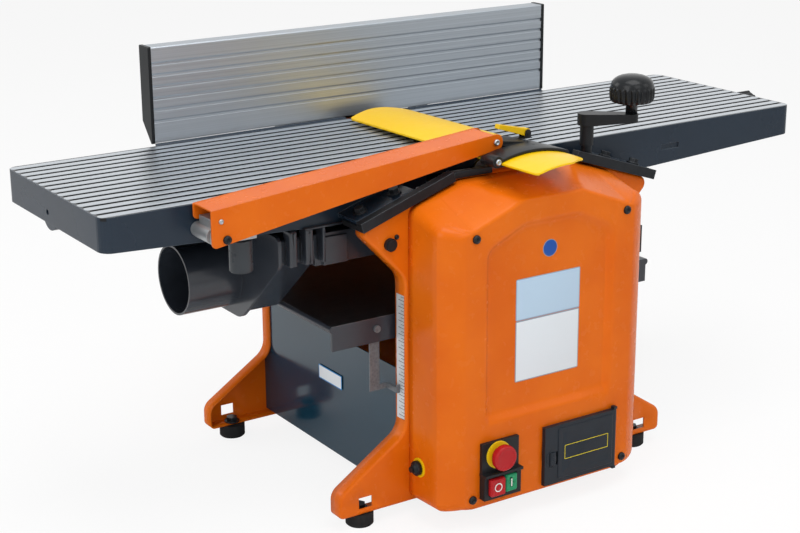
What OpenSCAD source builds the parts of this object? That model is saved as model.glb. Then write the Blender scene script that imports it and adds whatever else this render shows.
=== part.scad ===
// Combination planer thicknesser: fixed cutterblock between two planing tables,
// a thickness table below it, a fence at the back and a bridge guard at the front.
// X runs along the tables to the infeed end, Y to the back, Z up from the floor.

/* [Tables] */
// Length of both planing tables together
table_l = 1196; // [1160:1:1240]
// Width of the planing tables
table_w = 320; // [310:1:330]
// Height of the table tops above the floor
table_z = 492; // [486:1:510]
// Depth of a table's side at its outer end
table_end_h = 46; // [42:1:52]
// Depth of a table's side beside the frames
table_mid_h = 60; // [56:1:64]
// Opening between the table lips over the cutterblock
mouth_w = 50; // [46:1:56]
// Ribs across a table's top
rib_count = 15; // [11:2:19]
// Width of the grooves between the ribs
groove_w = 5; // [3:0.5:6]

/* [Frame] */
// Distance from the table's edge to the outer face of a side frame
frame_gap = 53; // [50:1:58]
// Distance of the stand from the middle of the tables, towards the operator
stand_shift = 5; // [3:0.5:6]
// Thickness of the pressed side frames
sheet_t = 2.5; // [2:0.5:3]
// Depth of the flange round a side frame
flange_d = 25; // [24:1:28]
// Half-width of a side frame over its legs
leg_x = 293; // [284:1:300]
// Half-width of a side frame at its waist
waist_x = 183; // [181:1:186]
// Height of the rubber feet
foot_h = 20; // [16:1:26]
// Diameter of the rubber feet
foot_d = 40; // [34:1:44]
// Slope of the ways that carry the tables
way_angle = 18.5; // [18:0.5:20]

/* [Drive] */
// Half-width of the drive cover
cover_x = 178; // [174:1:180]
// Depth of the drive cover in front of the frame
cover_d = 90; // [86:1:100]
// Diameter of the knives' circle
cutter_d = 75; // [70:1:78]
// Distance of the cutterblock's ends inside the tables' edges
cutter_inset = 5; // [4:0.5:15]
// Diameter of the motor
motor_d = 150; // [130:1:156]

/* [Thickness table] */
// Length of the thickness table
bed_l = 570; // [520:1:576]
// Height of the thickness table's top
bed_z = 294; // [286:1:306]
// Diameter of the lifting screws
screw_d = 16; // [14:1:18]
// Length of the crank arm between its axes
crank_l = 63; // [56:1:70]
// Diameter of the crank knob
knob_d = 65; // [56:1:72]

/* [Fence] */
// Length of the fence between its end caps
fence_l = 712; // [600:1:760]
// Height of the fence
fence_h = 141; // [120:1:160]
// Thickness of the fence
fence_t = 28; // [26:1:32]
// Travel of the fence across the table
fence_travel = 20; // [10:1:22]

/* [Guard] */
// Width of the guard blade
blade_w = 110; // [96:1:114]
// Length of the guard blade
blade_l = 482; // [440:1:500]
// Rise of the guard blade's curved top
blade_rise = 8; // [5:0.5:9]
// Width of the guard arm
arm_w = 52; // [46:1:54]

/* [Extraction] */
// Outer diameter of the hose spigot
spigot_d = 100; // [90:1:104]
// Wall of the hood
hood_t = 3; // [2:0.5:4]

/* [Controls] */
// Diameter of the emergency stop's head
stop_d = 33; // [28:1:36]
// Width of the toolbox lid
lid_w = 132; // [120:1:134]
// Height of the toolbox lid
lid_h = 89; // [80:1:92]

/* [Hidden] */
$fn = 64;
fit = 0.05;
slip = 0.3;

// Planing tables
half_w = table_w / 2;
half_l = table_l / 2;
deck_t = 12;
lip_t = 14;
table_wall = 8;
groove_d = 2.5;
corner_r = 15;
deep_x = 112;
deep_end_x = 300;
rib_pitch = table_w / rib_count;

// Side frames
frame_y = half_w + frame_gap;
inner_y = frame_y - sheet_t;
rear_y = frame_y - 2 * stand_shift;
rear_in = rear_y - sheet_t;
crown_x = 100;
crown_z = table_z - 9;
lobe_x = 256;
lobe_z = crown_z - (lobe_x - crown_x) * tan(way_angle);
leg_z = foot_h + 35;
flare_z = foot_h + 107;
neck_z = lobe_z - 76;
foot_x = leg_x - 42;
foot_y = frame_y - 17;
hand_hole = [22, 17];
hand_z = foot_h + 18;

// Rails on the ways, measured along the slope from the crown's corner
rail_t = 8;
rail_lip_t = 14;
rail_start = 62;
rail_end = 162;
rail_front = frame_y + 9;
rail_lip_y = frame_y - 4;
rail_back = frame_y - 43;
table_foot_t = 6;
bolt_runs = [84, 142];
bolt_y = frame_y - 23;

// Cutterblock, rollers and feed
cutter_r = cutter_d / 2;
cutter_l = table_w - 2 * cutter_inset;
block_r = cutter_r - 2.5;
cutter_z = table_z - cutter_r;
journal_r = 15;
pulley_seat_r = 8;
roller_x = 62;
roller_r = 18;
roller_z = table_z - 59;
roller_journal_r = 8;
pulley_y = [-frame_y - 20, -frame_y - 4];
cutter_pulley_r = 12;
motor_pulley_r = 40;
motor_z = 120;
motor_r = motor_d / 2;
belt_t = 2.5;
bearing_d = 24;
pawl_x = -98;
pawl_z = table_z - 68;
pawl_hub_r = 8;
pawl_rod_r = 5;
pawl_count = 24;

// Thickness table and its lift
bed_y = half_w + 21;
bed_back = bed_y - 2 * stand_shift;
bed_t = 10;
bed_flange_h = 36;
bed_flange_t = 5;
pointer_x = -waist_x - 27;
pointer_z = bed_z - 16;
screw_x = 144;
screw_y = frame_y - 17;
back_screw_y = screw_y - 2 * stand_shift;
screw_r = screw_d / 2;
sprocket_r = 10.4;
sprocket_z = [34, 40];
screw_bottom_z = foot_h + sheet_t + 0.2;
screw_top_z = crown_z - (screw_x - crown_x) * tan(way_angle) + 4;
crank_z = table_z + 32;
crank_angle = -38;
crank_t = 17;
crank_end_t = 11;
neck_r = 10;
knob_h = 57;
knob_pin_h = 34;
knob_flutes = 14;

// Fence
fence_x = -366;
fence_y = half_w + 12;
fence_z = table_z + 1.5;
fence_chamfer = 30;
fence_wall = 3;
cap_t = 5;
pivot_y = fence_y + 8;
pivot_z = fence_z + 7;
lug_x = [-50, 40];
lug_w = 16;
lug_r = 5;
fence_pin_r = 2.5;
rod_x0 = [-70, 60];
fence_rod_r = 8;
fence_rod_z = table_z + 16;
plate_y = [fence_y + 43, fence_y + 70];
mount_y = [fence_y + 95, fence_y + 125];
rod_end_y = mount_y[1] + fence_travel + 6;

// Guard: arm, holder and blade
blade_z = table_z + 7;
blade_tilt = 1.1;
blade_t = 2.5;
blade_back = 145;
blade_front = blade_back - blade_l;
blade_arc_r = (pow(blade_w / 2, 2) + pow(blade_rise, 2)) / (2 * blade_rise);
blade_axis_z = blade_z + blade_t + blade_rise - blade_arc_r;
holder_y = [-frame_y - 45, -half_w - 12];
holder_t = 4;
arm_y = [-half_w - 4 - arm_w, -half_w - 4];
arm_t = 2.5;
arm_left = -474;
arm_left_z = [table_z - 47, table_z + 3];
arm_tip = [-34, table_z + 33];
arm_tip_r = 12;
arm_pivot = [-453, table_z - 37];
arm_pivot_r = 5;
rivet_r = 4;
guard_knob_x = -422;
guard_knob_y = -half_w - 32;
guard_knob_r = 15.5;
clamp_pivot = [44, table_z + 31];

// Extraction hood
hood_y = half_w - 10;
hood_floor = table_z - 118;
hood_low_top = table_z - 92;
hood_high_top = table_z - 74;
hood_left = -288;
hood_step = -125;
hood_right = 70;
hood_mouth = [-75, 62];
plenum_left = -345;
spigot_z = table_z - 152;
spigot_left = -428;
spigot_r = spigot_d / 2;
pin_x = -208;
pin_z = hood_high_top - 11;
pin_r = 5;

// Cover and controls
cover_y = frame_y + cover_d;
cover_t = 3;
cover_front_t = 8;
cover_z = foot_h + 4;
corner_round = 29;
crease_round = 8;
crease_x = 58;
crease_z = table_z - 28;
shoulder_z = table_z - 62;
panel_d = 4;
screw_at = [[130, table_z - 69], [136, foot_h + 23]];
switch_x = [-120, -57];
switch_z = [foot_h + 24, foot_h + 107];
plate_t = 6;
stop_at = [-93, foot_h + 87];
stop_travel = 5;
buttons_z = [foot_h + 30, foot_h + 56];
stop_x = [-113, -88];
start_x = [-85, -65];
button_travel = 3;
lid_x = -11;
lid_z = foot_h + 17;
lid_t = 6;
box_d = 34;
lid_back_y = -cover_y - 1.2;
hinge_at = [lid_x + lid_w - 3, lid_back_y - lid_t / 2];
hinge_pin_r = 1.2;
latch_x = [lid_x + 9, lid_x + 19];
latch_z = [lid_z + 29, lid_z + 49];
latch_travel = 4;
reset_at = [-frame_y - 27, foot_h + 63];
inlet_y = [-frame_y - 66, -frame_y - 34];
inlet_z = [table_z - 146, table_z - 106];

// Unit vector, and the points of an outline whose corners [x, y, radius] are rounded
function unit(v) = v / norm(v);
function corner_points(p, q, s, r, steps = 6) =
    r <= 0 ? [q] :
    let (u = unit(p - q), v = unit(s - q), half = acos(u * v) / 2)
    let (c = q + unit(u + v) * r / sin(half), a = q + u * r / tan(half) - c)
    let (b = q + v * r / tan(half) - c, a0 = atan2(a[1], a[0]))
    let (turn = (atan2(b[1], b[0]) - a0 + 540) % 360 - 180)
    [for (i = [0:steps]) c + r * [cos(a0 + turn * i / steps), sin(a0 + turn * i / steps)]];
function flat2(p) = [p[0], p[1]];
function at(pts, i) = pts[(i + len(pts)) % len(pts)];
function rounded(pts, steps = 6) = [
    for (i = [0:len(pts) - 1])
        each corner_points(flat2(at(pts, i - 1)), flat2(pts[i]), flat2(at(pts, i + 1)), pts[i][2], steps)
];

// The same outline moved inwards by d; the points run anticlockwise
function moved_in(pts, d) = [
    for (i = [0:len(pts) - 1])
        let (q = flat2(pts[i]))
        let (e = unit(q - flat2(at(pts, i - 1))), f = unit(flat2(at(pts, i + 1)) - q))
        let (n = [-e[1], e[0]], m = [-f[1], f[0]], bend = e[0] * f[1] - e[1] * f[0])
        let (w = q + d * (n + m) / (1 + n * m), r = pts[i][2])
        [w[0], w[1], r == 0 ? 0 : max(r - sign(bend) * d, 0.1)]
];
function both_sides(half) = concat(half, [
    for (i = [len(half) - 1:-1:0]) [-half[i][0], half[i][1], half[i][2]]
]);

// Solids along an axis: boxes between two corners, outlines and rods
module block(x, y, z) {
    translate([x[0], y[0], z[0]]) cube([x[1] - x[0], y[1] - y[0], z[1] - z[0]]);
}
module slab_y(pts, y) {
    translate([0, y[1], 0]) rotate([90, 0, 0]) linear_extrude(y[1] - y[0]) polygon(pts);
}
module slab_x(pts, x) {
    translate([x[0], 0, 0]) rotate([90, 0, 90]) linear_extrude(x[1] - x[0]) polygon(pts);
}
module rod_x(y, z, r, x) {
    translate([x[0], y, z]) rotate([0, 90, 0]) cylinder(r = r, h = x[1] - x[0]);
}
module rod_y(x, z, r, y) {
    translate([x, y[1], z]) rotate([90, 0, 0]) cylinder(r = r, h = y[1] - y[0]);
}
module rod_z(x, y, r, z) {
    translate([x, y, z[0]]) cylinder(r = r, h = z[1] - z[0]);
}
// Copies at both side frames, mirrored in the middle of the stand
module to_back() {
    translate([0, -2 * stand_shift, 0]) mirror([0, 1, 0]) children();
}
module front_and_back() {
    children();
    to_back() children();
}
module four_ways() {
    for (mx = [0, 1]) mirror([mx, 0, 0]) front_and_back() children();
}
module on_way() {
    translate([crown_x, 0, crown_z]) rotate([0, way_angle, 0]) children();
}
module hex_bolt(shank_r, shank_l, head_h) {
    translate([0, 0, -shank_l]) cylinder(r = shank_r, h = shank_l + 1);
    cylinder(r = shank_r * 2.4, h = 2);
    translate([0, 0, 2]) cylinder(r = shank_r * 1.8, h = head_h, $fn = 6);
}

// Side frame: a sheet pressed to shape, with a flange turned in all round
frame_half = [
    [leg_x, foot_h, 8], [leg_x, leg_z, 20], [waist_x, flare_z, 30],
    [waist_x, neck_z, 30], [lobe_x, lobe_z, 12], [crown_x, crown_z, 10]
];
frame_corners = both_sides(frame_half);
module side_frame() {
    difference() {
        union() {
            slab_y(rounded(frame_corners), [-frame_y, -inner_y]);
            difference() {
                slab_y(rounded(frame_corners), [-frame_y, -frame_y + flange_d]);
                slab_y(rounded(moved_in(frame_corners, sheet_t)), [-frame_y - 1, -frame_y + flange_d + 1]);
            }
        }
        for (side = [-1, 1]) {
            block([side * foot_x - hand_hole[0] / 2, side * foot_x + hand_hole[0] / 2],
                [-frame_y - 1, -inner_y + 1], [hand_z - hand_hole[1] / 2, hand_z + hand_hole[1] / 2]);
            rod_z(side * screw_x, -screw_y, screw_r + slip, [neck_z, crown_z]);
            rod_z(side * foot_x, -foot_y, 5 + slip, [foot_h - 1, foot_h + sheet_t + 1]);
        }
        rod_y(pin_x, pin_z, pin_r + slip, [-frame_y - 1, -inner_y + 1]);
    }
}
module front_frame() {
    color("darkorange") difference() {
        side_frame();
        rod_y(0, cutter_z, journal_r + 1, [-frame_y - 1, -inner_y + 1]);
        rod_y(0, motor_z, 24, [-frame_y - 1, -inner_y + 1]);
    }
}
module rear_frame() {
    color("darkorange") to_back() side_frame();
}

// Tubes that tie the frames together, and the rod that the pawls hang on
module tie_bars() {
    color("dimgray") {
        for (side = [-1, 1]) difference() {
            block([side * 110 - 14, side * 110 + 14], [-inner_y, rear_in], [62, 82]);
            block([side * 110 - 12, side * 110 + 12], [-inner_y - 1, rear_in + 1], [64, 80]);
        }
        rod_y(pawl_x, pawl_z, pawl_rod_r, [-inner_y, rear_in]);
    }
}

// Painted sheets that close the stand under the thickness table
module end_panel() {
    panel_x = waist_x - sheet_t;
    difference() {
        block([panel_x - 1.5, panel_x], [-inner_y, rear_in], [foot_h + sheet_t + 2, bed_z - 79]);
        front_and_back() block([panel_x - 2, panel_x + 1], [-inner_y - 1, -frame_y + flange_d - 15],
            [bed_z - 110, bed_z]);
    }
}
module left_end_panel() {
    color("darkslategray") mirror([1, 0, 0]) end_panel();
}
module right_end_panel() {
    color("darkslategray") end_panel();
}

// Rubber feet under the legs
module rubber_feet() {
    color("black") four_ways() difference() {
        union() {
            rod_z(foot_x, -foot_y, foot_d / 2 - 2, [0, 4]);
            rod_z(foot_x, -foot_y, foot_d / 2, [2, foot_h]);
        }
        rod_z(foot_x, -foot_y, 5 + fit, [6, foot_h + 1]);
    }
}

// Bolts that hold the feet, the outfeed table and the back of the hood
module table_bolts() {
    front_and_back() on_way() for (run = bolt_runs)
        translate([run, -bolt_y, rail_t + table_foot_t + 0.3]) hex_bolt(4, rail_t + table_foot_t - 1, 6);
}
module frame_bolts() {
    color("black") {
        four_ways() translate([foot_x, -foot_y, foot_h + sheet_t + 0.1]) hex_bolt(5, 12, 6);
        mirror([1, 0, 0]) table_bolts();
        translate([pin_x, rear_y + 0.1, pin_z]) rotate([-90, 0, 0]) hex_bolt(pin_r, rear_y - hood_y + 2, 7);
    }
}
module infeed_bolts() {
    color("black") table_bolts();
}

// Inclined rails on the frames' sloping tops, with an upstand along the outside
module table_rails() {
    color("#1c1c1e") four_ways() on_way() difference() {
        union() {
            block([rail_start, rail_end], [-rail_front, -rail_back], [0, rail_t]);
            block([5, rail_end], [-rail_front, -rail_lip_y], [0, rail_lip_t]);
        }
        for (run = bolt_runs) {
            block([run - 6, run + 14], [-bolt_y - 4.4, -bolt_y + 4.4], [-1, rail_t + 1]);
            for (end = [-6, 14]) translate([run + end, -bolt_y, -1]) cylinder(r = 4.4, h = rail_t + 2);
        }
    }
}

// Planing table: a ribbed casting, deeper beside the frames, on feet that lie on the rails
table_profile = [
    [mouth_w / 2, table_z], [mouth_w / 2, table_z - lip_t], [deep_x, table_z - lip_t],
    [deep_x, table_z - table_mid_h], [deep_end_x, table_z - table_mid_h],
    [half_l, table_z - table_end_h], [half_l, table_z]
];
table_plan = [
    [mouth_w / 2, -half_w, 0], [half_l, -half_w, corner_r], [half_l, half_w, corner_r],
    [mouth_w / 2, half_w, 0]
];
module planing_table() {
    hollow_z = [table_z - 2 * table_mid_h, table_z - deck_t];
    difference() {
        intersection() {
            slab_y(table_profile, [-half_w, half_w]);
            translate([0, 0, table_z - 100]) linear_extrude(110) polygon(rounded(table_plan));
        }
        block([deep_x + table_wall, half_l - table_wall], [-half_w + table_wall, half_w - table_wall], hollow_z);
        for (i = [1:rib_count - 1])
            translate([mouth_w / 2 - 1, -half_w + i * rib_pitch - groove_w / 2, table_z - groove_d])
                cube([half_l - mouth_w / 2 - 4, groove_w, groove_d + 1]);
        rod_y(0, cutter_z, cutter_r + 4, [-half_w - 1, half_w + 1]);
    }
    for (x = [210, 330, 450])
        block([x, x + 6], [-half_w + 1, half_w - 1], [table_z - table_end_h + 6, table_z - deck_t + 1]);
    front_and_back() difference() {
        on_way() block([rail_start + 2, rail_end - 2], [-rail_lip_y + 1, -half_w + table_wall / 2],
            [rail_t + 0.2, rail_t + 0.2 + table_foot_t]);
        on_way() for (run = bolt_runs) translate([run, -bolt_y, 0]) cylinder(r = 4.2, h = 30);
    }
}
module outfeed_table() {
    color("slategray") difference() {
        union() {
            mirror([1, 0, 0]) planing_table();
            translate([-half_l + 1, 12, table_z - table_end_h + 16]) rotate([0, 90, 0]) cylinder(r = 25, h = 12);
        }
        rod_x(16, table_z - 31, 4, [-half_l - 1, -half_l + 30]);
    }
}
module infeed_table() {
    color("slategray") difference() {
        planing_table();
        block([322, 358], [-half_w - 1, -half_w + 2.5], [table_z - 37, table_z - 29]);
        rod_x(depth_y, depth_z, 6 + fit, [half_l - 40, half_l + 1]);
    }
}

// Knob that draws the infeed table along its ways to set the depth of cut
depth_y = -30;
depth_z = table_z - 24;
module depth_knob() {
    color("#202022") {
        rod_x(depth_y, depth_z, 6, [half_l - 24, half_l + 9]);
        rod_x(depth_y, depth_z, 14, [half_l + 0.3, half_l + 10]);
        translate([half_l + 9, depth_y, depth_z]) rotate([0, 90, 0]) linear_extrude(26) union() {
            circle(r = 20);
            for (i = [0:7]) rotate(i * 45) translate([18, 0]) circle(r = 4);
        }
    }
}

// Bearing housings behind the front frame
module bearing_blocks() {
    y = [-inner_y, -inner_y + bearing_d];
    color("silver") {
        difference() {
            rod_y(0, cutter_z, 25, y);
            rod_y(0, cutter_z, journal_r + fit, [y[0] - 1, y[1] + 1]);
        }
        for (side = [-1, 1]) difference() {
            block([side * roller_x - 15, side * roller_x + 15], y, [roller_z - 15, roller_z + 15]);
            rod_y(side * roller_x, roller_z, roller_journal_r + fit, [y[0] + 1, y[1] + 1]);
        }
    }
}

// Cutterblock with three knife slots; the knives and their wedge bars are one group
module at_knives() {
    for (i = [0:2]) translate([0, 0, cutter_z]) rotate([0, 30 + 120 * i, 0]) children();
}
module cutterblock() {
    color("silver") {
        difference() {
            rod_y(0, cutter_z, block_r, [-cutter_l / 2, cutter_l / 2]);
            at_knives() block([-6, 6], [-cutter_l / 2 - 1, cutter_l / 2 + 1], [block_r - 14, block_r + 2]);
        }
        rod_y(0, cutter_z, journal_r, [-frame_y - 2, -cutter_l / 2]);
        rod_y(0, cutter_z, journal_r, [cutter_l / 2, rear_in - 4]);
        rod_y(0, cutter_z, pulley_seat_r, [pulley_y[0] - 2, -frame_y - 1]);
    }
}
module planer_knives() {
    color("lightgray") at_knives() {
        block([-5.8, -2.8], [-cutter_l / 2 + 1, cutter_l / 2 - 1], [block_r - 13.8, cutter_r - 0.6]);
        block([-2.6, 5.8], [-cutter_l / 2 + 1, cutter_l / 2 - 1], [block_r - 13.8, block_r - 1.2]);
    }
}
module grooved_pulley(x, z, r, bore_r) {
    difference() {
        rod_y(x, z, r + 2, pulley_y);
        difference() {
            rod_y(x, z, r + 4, [pulley_y[0] + 2, pulley_y[1] - 2]);
            rod_y(x, z, r, pulley_y);
        }
        rod_y(x, z, bore_r, [pulley_y[0] - 1, pulley_y[1] + 1]);
    }
}
module cutter_pulley() {
    color("dimgray") grooved_pulley(0, cutter_z, cutter_pulley_r, pulley_seat_r + 0.02);
}

// Feed gearbox inside the rear frame: turns the rollers from the cutterblock's shaft
module feed_gearbox() {
    y = [rear_in - bearing_d, rear_in];
    half = [[86, roller_z - 26, 10], [86, roller_z + 16, 16], [40, cutter_z + 22, 16]];
    color("gray") difference() {
        slab_y(rounded(both_sides(half)), y);
        rod_y(0, cutter_z, journal_r + fit, [y[0] - 1, y[1] - 3]);
        for (side = [-1, 1]) rod_y(side * roller_x, roller_z, roller_journal_r + fit, [y[0] - 1, y[1] - 3]);
    }
}
module feed_roller(x) {
    rod_y(x, roller_z, roller_r, [-half_w + 5, half_w - 5]);
    rod_y(x, roller_z, roller_journal_r, [-inner_y + 2, rear_in - 4]);
}
module infeed_roller() {
    color("gray") difference() {
        feed_roller(-roller_x);
        for (i = [0:19]) translate([-roller_x, 0, roller_z]) rotate([0, i * 18, 0])
            block([-1, 1], [-half_w + 4, half_w - 4], [roller_r - 1.5, roller_r + 2]);
    }
}
module outfeed_roller() {
    color("#303030") feed_roller(roller_x);
}

// Anti-kickback pawls, side by side on their rod
module kickback_pawls() {
    pitch = (table_w - 30) / pawl_count;
    color("darkgray") for (i = [0:pawl_count - 1]) {
        y0 = -half_w + 15 + i * pitch;
        difference() {
            union() {
                rod_y(pawl_x, pawl_z, pawl_hub_r, [y0, y0 + pitch - 5]);
                slab_y([[pawl_x - 8, pawl_z], [pawl_x + 1, pawl_z - 16], [pawl_x + 8, pawl_z]], [y0, y0 + pitch - 5]);
            }
            rod_y(pawl_x, pawl_z, pawl_rod_r + fit, [y0 - 1, y0 + pitch]);
        }
    }
}

// Motor bolted behind the front frame, its shaft with the large pulley, and the belt
module motor() {
    body_y = [-inner_y + 5, -inner_y + 178];
    color("#40444a") difference() {
        union() {
            block([-82, 82], [-inner_y, -inner_y + 5], [motor_z - motor_r, motor_z + motor_r]);
            rod_y(0, motor_z, motor_r - 6, [body_y[0] - 1, body_y[1]]);
            for (i = [0:23]) translate([0, 0, motor_z]) rotate([0, i * 15, 0])
                block([-1.5, 1.5], [body_y[0] + 20, body_y[1] - 30], [motor_r - 12, motor_r]);
            block([-38, 38], [body_y[0] + 40, body_y[0] + 110], [motor_z + motor_r - 14, motor_z + motor_r + 22]);
        }
        rod_y(0, motor_z, 10 + fit, [-inner_y - 1, body_y[1] - 20]);
    }
}
module motor_shaft() {
    color("dimgray") {
        rod_y(0, motor_z, 10, [pulley_y[0] - 2, -inner_y + 155]);
        grooved_pulley(0, motor_z, motor_pulley_r, 9.5);
    }
}
belt_lean = asin((motor_pulley_r - cutter_pulley_r) / (cutter_z - motor_z));
function pulley_arc(r, z, from, to) = [
    for (i = [0:18]) let (a = from + (to - from) * i / 18) [r * cos(a), z + r * sin(a)]
];
function belt_loop(extra) = concat(
    pulley_arc(motor_pulley_r + extra, motor_z, 180 - belt_lean, 360 + belt_lean),
    pulley_arc(cutter_pulley_r + extra, cutter_z, belt_lean, 180 - belt_lean)
);
module drive_belt() {
    y = [pulley_y[0] + 2 + slip, pulley_y[1] - 2 - slip];
    color("black") difference() {
        slab_y(belt_loop(belt_t), y);
        slab_y(belt_loop(2 * slip), [y[0] - 1, y[1] + 1]);
    }
}

// Thickness table: a plate with side flanges and four nut lugs on the lifting screws
module thickness_table() {
    top = [bed_z - bed_t, bed_z];
    color("#2a2d31") difference() {
        union() {
            block([-bed_l / 2 + 5, bed_l / 2 - 5], [-bed_y, bed_back], top);
            for (side = [-1, 1]) rod_y(side * (bed_l / 2 - 5), bed_z - 5, 5, [-bed_y, bed_back]);
            front_and_back() block([-bed_l / 2 + 4, bed_l / 2 - 4], [-bed_y, -bed_y + bed_flange_t],
                [bed_z - bed_flange_h, bed_z]);
            four_ways() block([screw_x - 16, screw_x + 16], [-bed_y - 26, -bed_y + 2], [bed_z - 34, bed_z - 2]);
        }
        four_ways() rod_z(screw_x, -screw_y, screw_r + fit, [bed_z - 40, bed_z + 1]);
        rod_y(pointer_x, pointer_z, 3 + fit, [-bed_y - 1, -bed_y + bed_flange_t + 1]);
    }
}

// Strip that hangs from the table's flange, with the hook that points at the scale
module bed_pointer() {
    y = [-bed_y + bed_flange_t + slip, -bed_y + bed_flange_t + slip + 2];
    hook_x = [-waist_x - 7, -waist_x - 5];
    hook_y = -bed_y - 20;
    low = bed_z - 110;
    color("silver") {
        block([pointer_x - 8, pointer_x + 8], y, [low, bed_z - bed_t - slip]);
        rod_y(pointer_x, pointer_z, 3, [-bed_y - 1, y[0] + 1]);
        rod_y(pointer_x, pointer_z, 5, [-bed_y - 4, -bed_y - slip]);
        block([pointer_x, hook_x[1]], y, [low, low + 8]);
        block(hook_x, [hook_y, y[1]], [low, low + 8]);
        block([hook_x[0], -waist_x - 1.6], [hook_y, hook_y + 2], [low, low + 12]);
    }
}

// Steel scale on the outer side of the front frame's waist
module depth_scale() {
    color("lightgray") block([-waist_x - 0.8, -waist_x - 0.05], [-frame_y + 3, -frame_y + 21],
        [bed_z - 149, bed_z + 34]);
}

// Lifting screws with sprockets; the crank is keyed to the front right one
module lift_screw(x, y, top) {
    rod_z(x, y, screw_r, [screw_bottom_z, top]);
    rod_z(x, y, sprocket_r, sprocket_z);
}
module crank_screw() {
    color("gray") {
        lift_screw(screw_x, -screw_y, table_z + 2);
        rod_z(screw_x, -screw_y, screw_r - 2, [table_z + 1, crank_z + crank_t - 5]);
    }
}
module lift_screw_front() {
    color("gray") lift_screw(-screw_x, -screw_y, screw_top_z);
}
module lift_screw_rear_left() {
    color("gray") lift_screw(-screw_x, back_screw_y, screw_top_z);
}
module lift_screw_rear_right() {
    color("gray") lift_screw(screw_x, back_screw_y, screw_top_z);
}
module chain_loop(r) {
    corners = [
        [screw_x + r, -screw_y - r, r], [screw_x + r, back_screw_y + r, r],
        [-screw_x - r, back_screw_y + r, r], [-screw_x - r, -screw_y - r, r]
    ];
    polygon(rounded(corners, 12));
}
module lift_chain() {
    color("#3a3a3a") translate([0, 0, sprocket_z[0] + 1]) linear_extrude(4) difference() {
        chain_loop(sprocket_r + 3.6);
        chain_loop(sprocket_r + slip);
    }
}

// Crank arm on the post, and the fluted knob that turns on its neck
crank_end = [screw_x + crank_l * cos(crank_angle), -screw_y + crank_l * sin(crank_angle)];
hub_r = 14;
crank_tip_r = 10;
module crank_arm() {
    plan = [
        [-hub_r, -hub_r, hub_r - 0.8], [crank_l + crank_tip_r, -crank_tip_r, crank_tip_r - 0.1],
        [crank_l + crank_tip_r, crank_tip_r, crank_tip_r - 0.1], [-hub_r, hub_r, hub_r - 0.8]
    ];
    underside = [
        [hub_r + 1, -1], [crank_l + 2 * crank_tip_r, -1], [crank_l + 2 * crank_tip_r, crank_t - crank_end_t + 1],
        [hub_r + 1, 0.5]
    ];
    color("#2b2c2e") difference() {
        union() {
            rod_z(screw_x, -screw_y, neck_r, [table_z + 2.2, crank_z + 1]);
            translate([screw_x, -screw_y, crank_z]) rotate([0, 0, crank_angle]) difference() {
                linear_extrude(crank_t) polygon(rounded(plan, 12));
                slab_y(underside, [-2 * hub_r, 2 * hub_r]);
            }
            rod_z(crank_end[0], crank_end[1], neck_r - 5,
                [crank_z + crank_t - 1, crank_z + crank_t + knob_pin_h - 1]);
        }
        rod_z(screw_x, -screw_y, screw_r - 2 + 0.02, [table_z, crank_z + crank_t - 4.5]);
    }
}
module crank_knob() {
    r = knob_d / 2;
    profile = [
        [neck_r - 5 + fit, 0], [neck_r - 1, 0], [neck_r - 1, 13], [r - 7, 14], [r - 1, 20], [r, 32],
        [r - 2, 44], [r - 9, knob_h - 4], [r - 20, knob_h], [0, knob_h], [0, knob_pin_h],
        [neck_r - 5 + fit, knob_pin_h]
    ];
    color("#222326") translate([crank_end[0], crank_end[1], crank_z + crank_t + 0.2]) difference() {
        rotate_extrude() polygon(rounded([for (p = profile) [p[0], p[1], p[0] > r - 12 ? 3 : 0]], 4));
        for (i = [0:knob_flutes - 1]) rotate(i * 360 / knob_flutes) translate([r + 2, 0, 8]) cylinder(r = 4, h = 24);
    }
}

// Fence: a hollow extrusion with grooves along its face and a chamfered back edge
function fence_outline(d) = [
    [fence_y + d, fence_z + d, 0], [fence_y + 3 + d / 2, fence_z + d, 0],
    [fence_y + fence_t - d, fence_z + fence_chamfer + d / 2, 0],
    [fence_y + fence_t - d, fence_z + fence_h - d, d > 0 ? 0 : 2], [fence_y + d, fence_z + fence_h - d, d > 0 ? 0 : 2]
];
module fence_plate() {
    span = [fence_x, fence_x + fence_l];
    color("silver") difference() {
        slab_x(rounded(fence_outline(0), 4), span);
        slab_x([for (p = fence_outline(fence_wall)) [p[0], max(p[1], fence_z + 16)]], [span[0] - 1, span[1] + 1]);
        for (i = [1:6]) slab_x([
            [fence_y - 1, fence_z + 12 + i * 17], [fence_y + 1.6, fence_z + 12 + i * 17],
            [fence_y + 1.6, fence_z + 15 + i * 17], [fence_y - 1, fence_z + 19 + i * 17]
        ], [span[0] - 1, span[1] + 1]);
        for (x = lug_x) block([x - lug_w / 2 - 1, x + lug_w / 2 + 1], [fence_y + 2.6, fence_y + fence_t + 1],
            [fence_z - 1, fence_z + fence_chamfer + 16]);
        for (x = lug_x) rod_x(pivot_y, pivot_z, fence_pin_r + fit, [x - 24, x + 24]);
    }
}
module fence_caps() {
    color("#25272a") for (x = [fence_x - cap_t, fence_x + fence_l])
        slab_x(rounded(fence_outline(-0.8), 4), [x, x + cap_t]);
}

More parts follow.
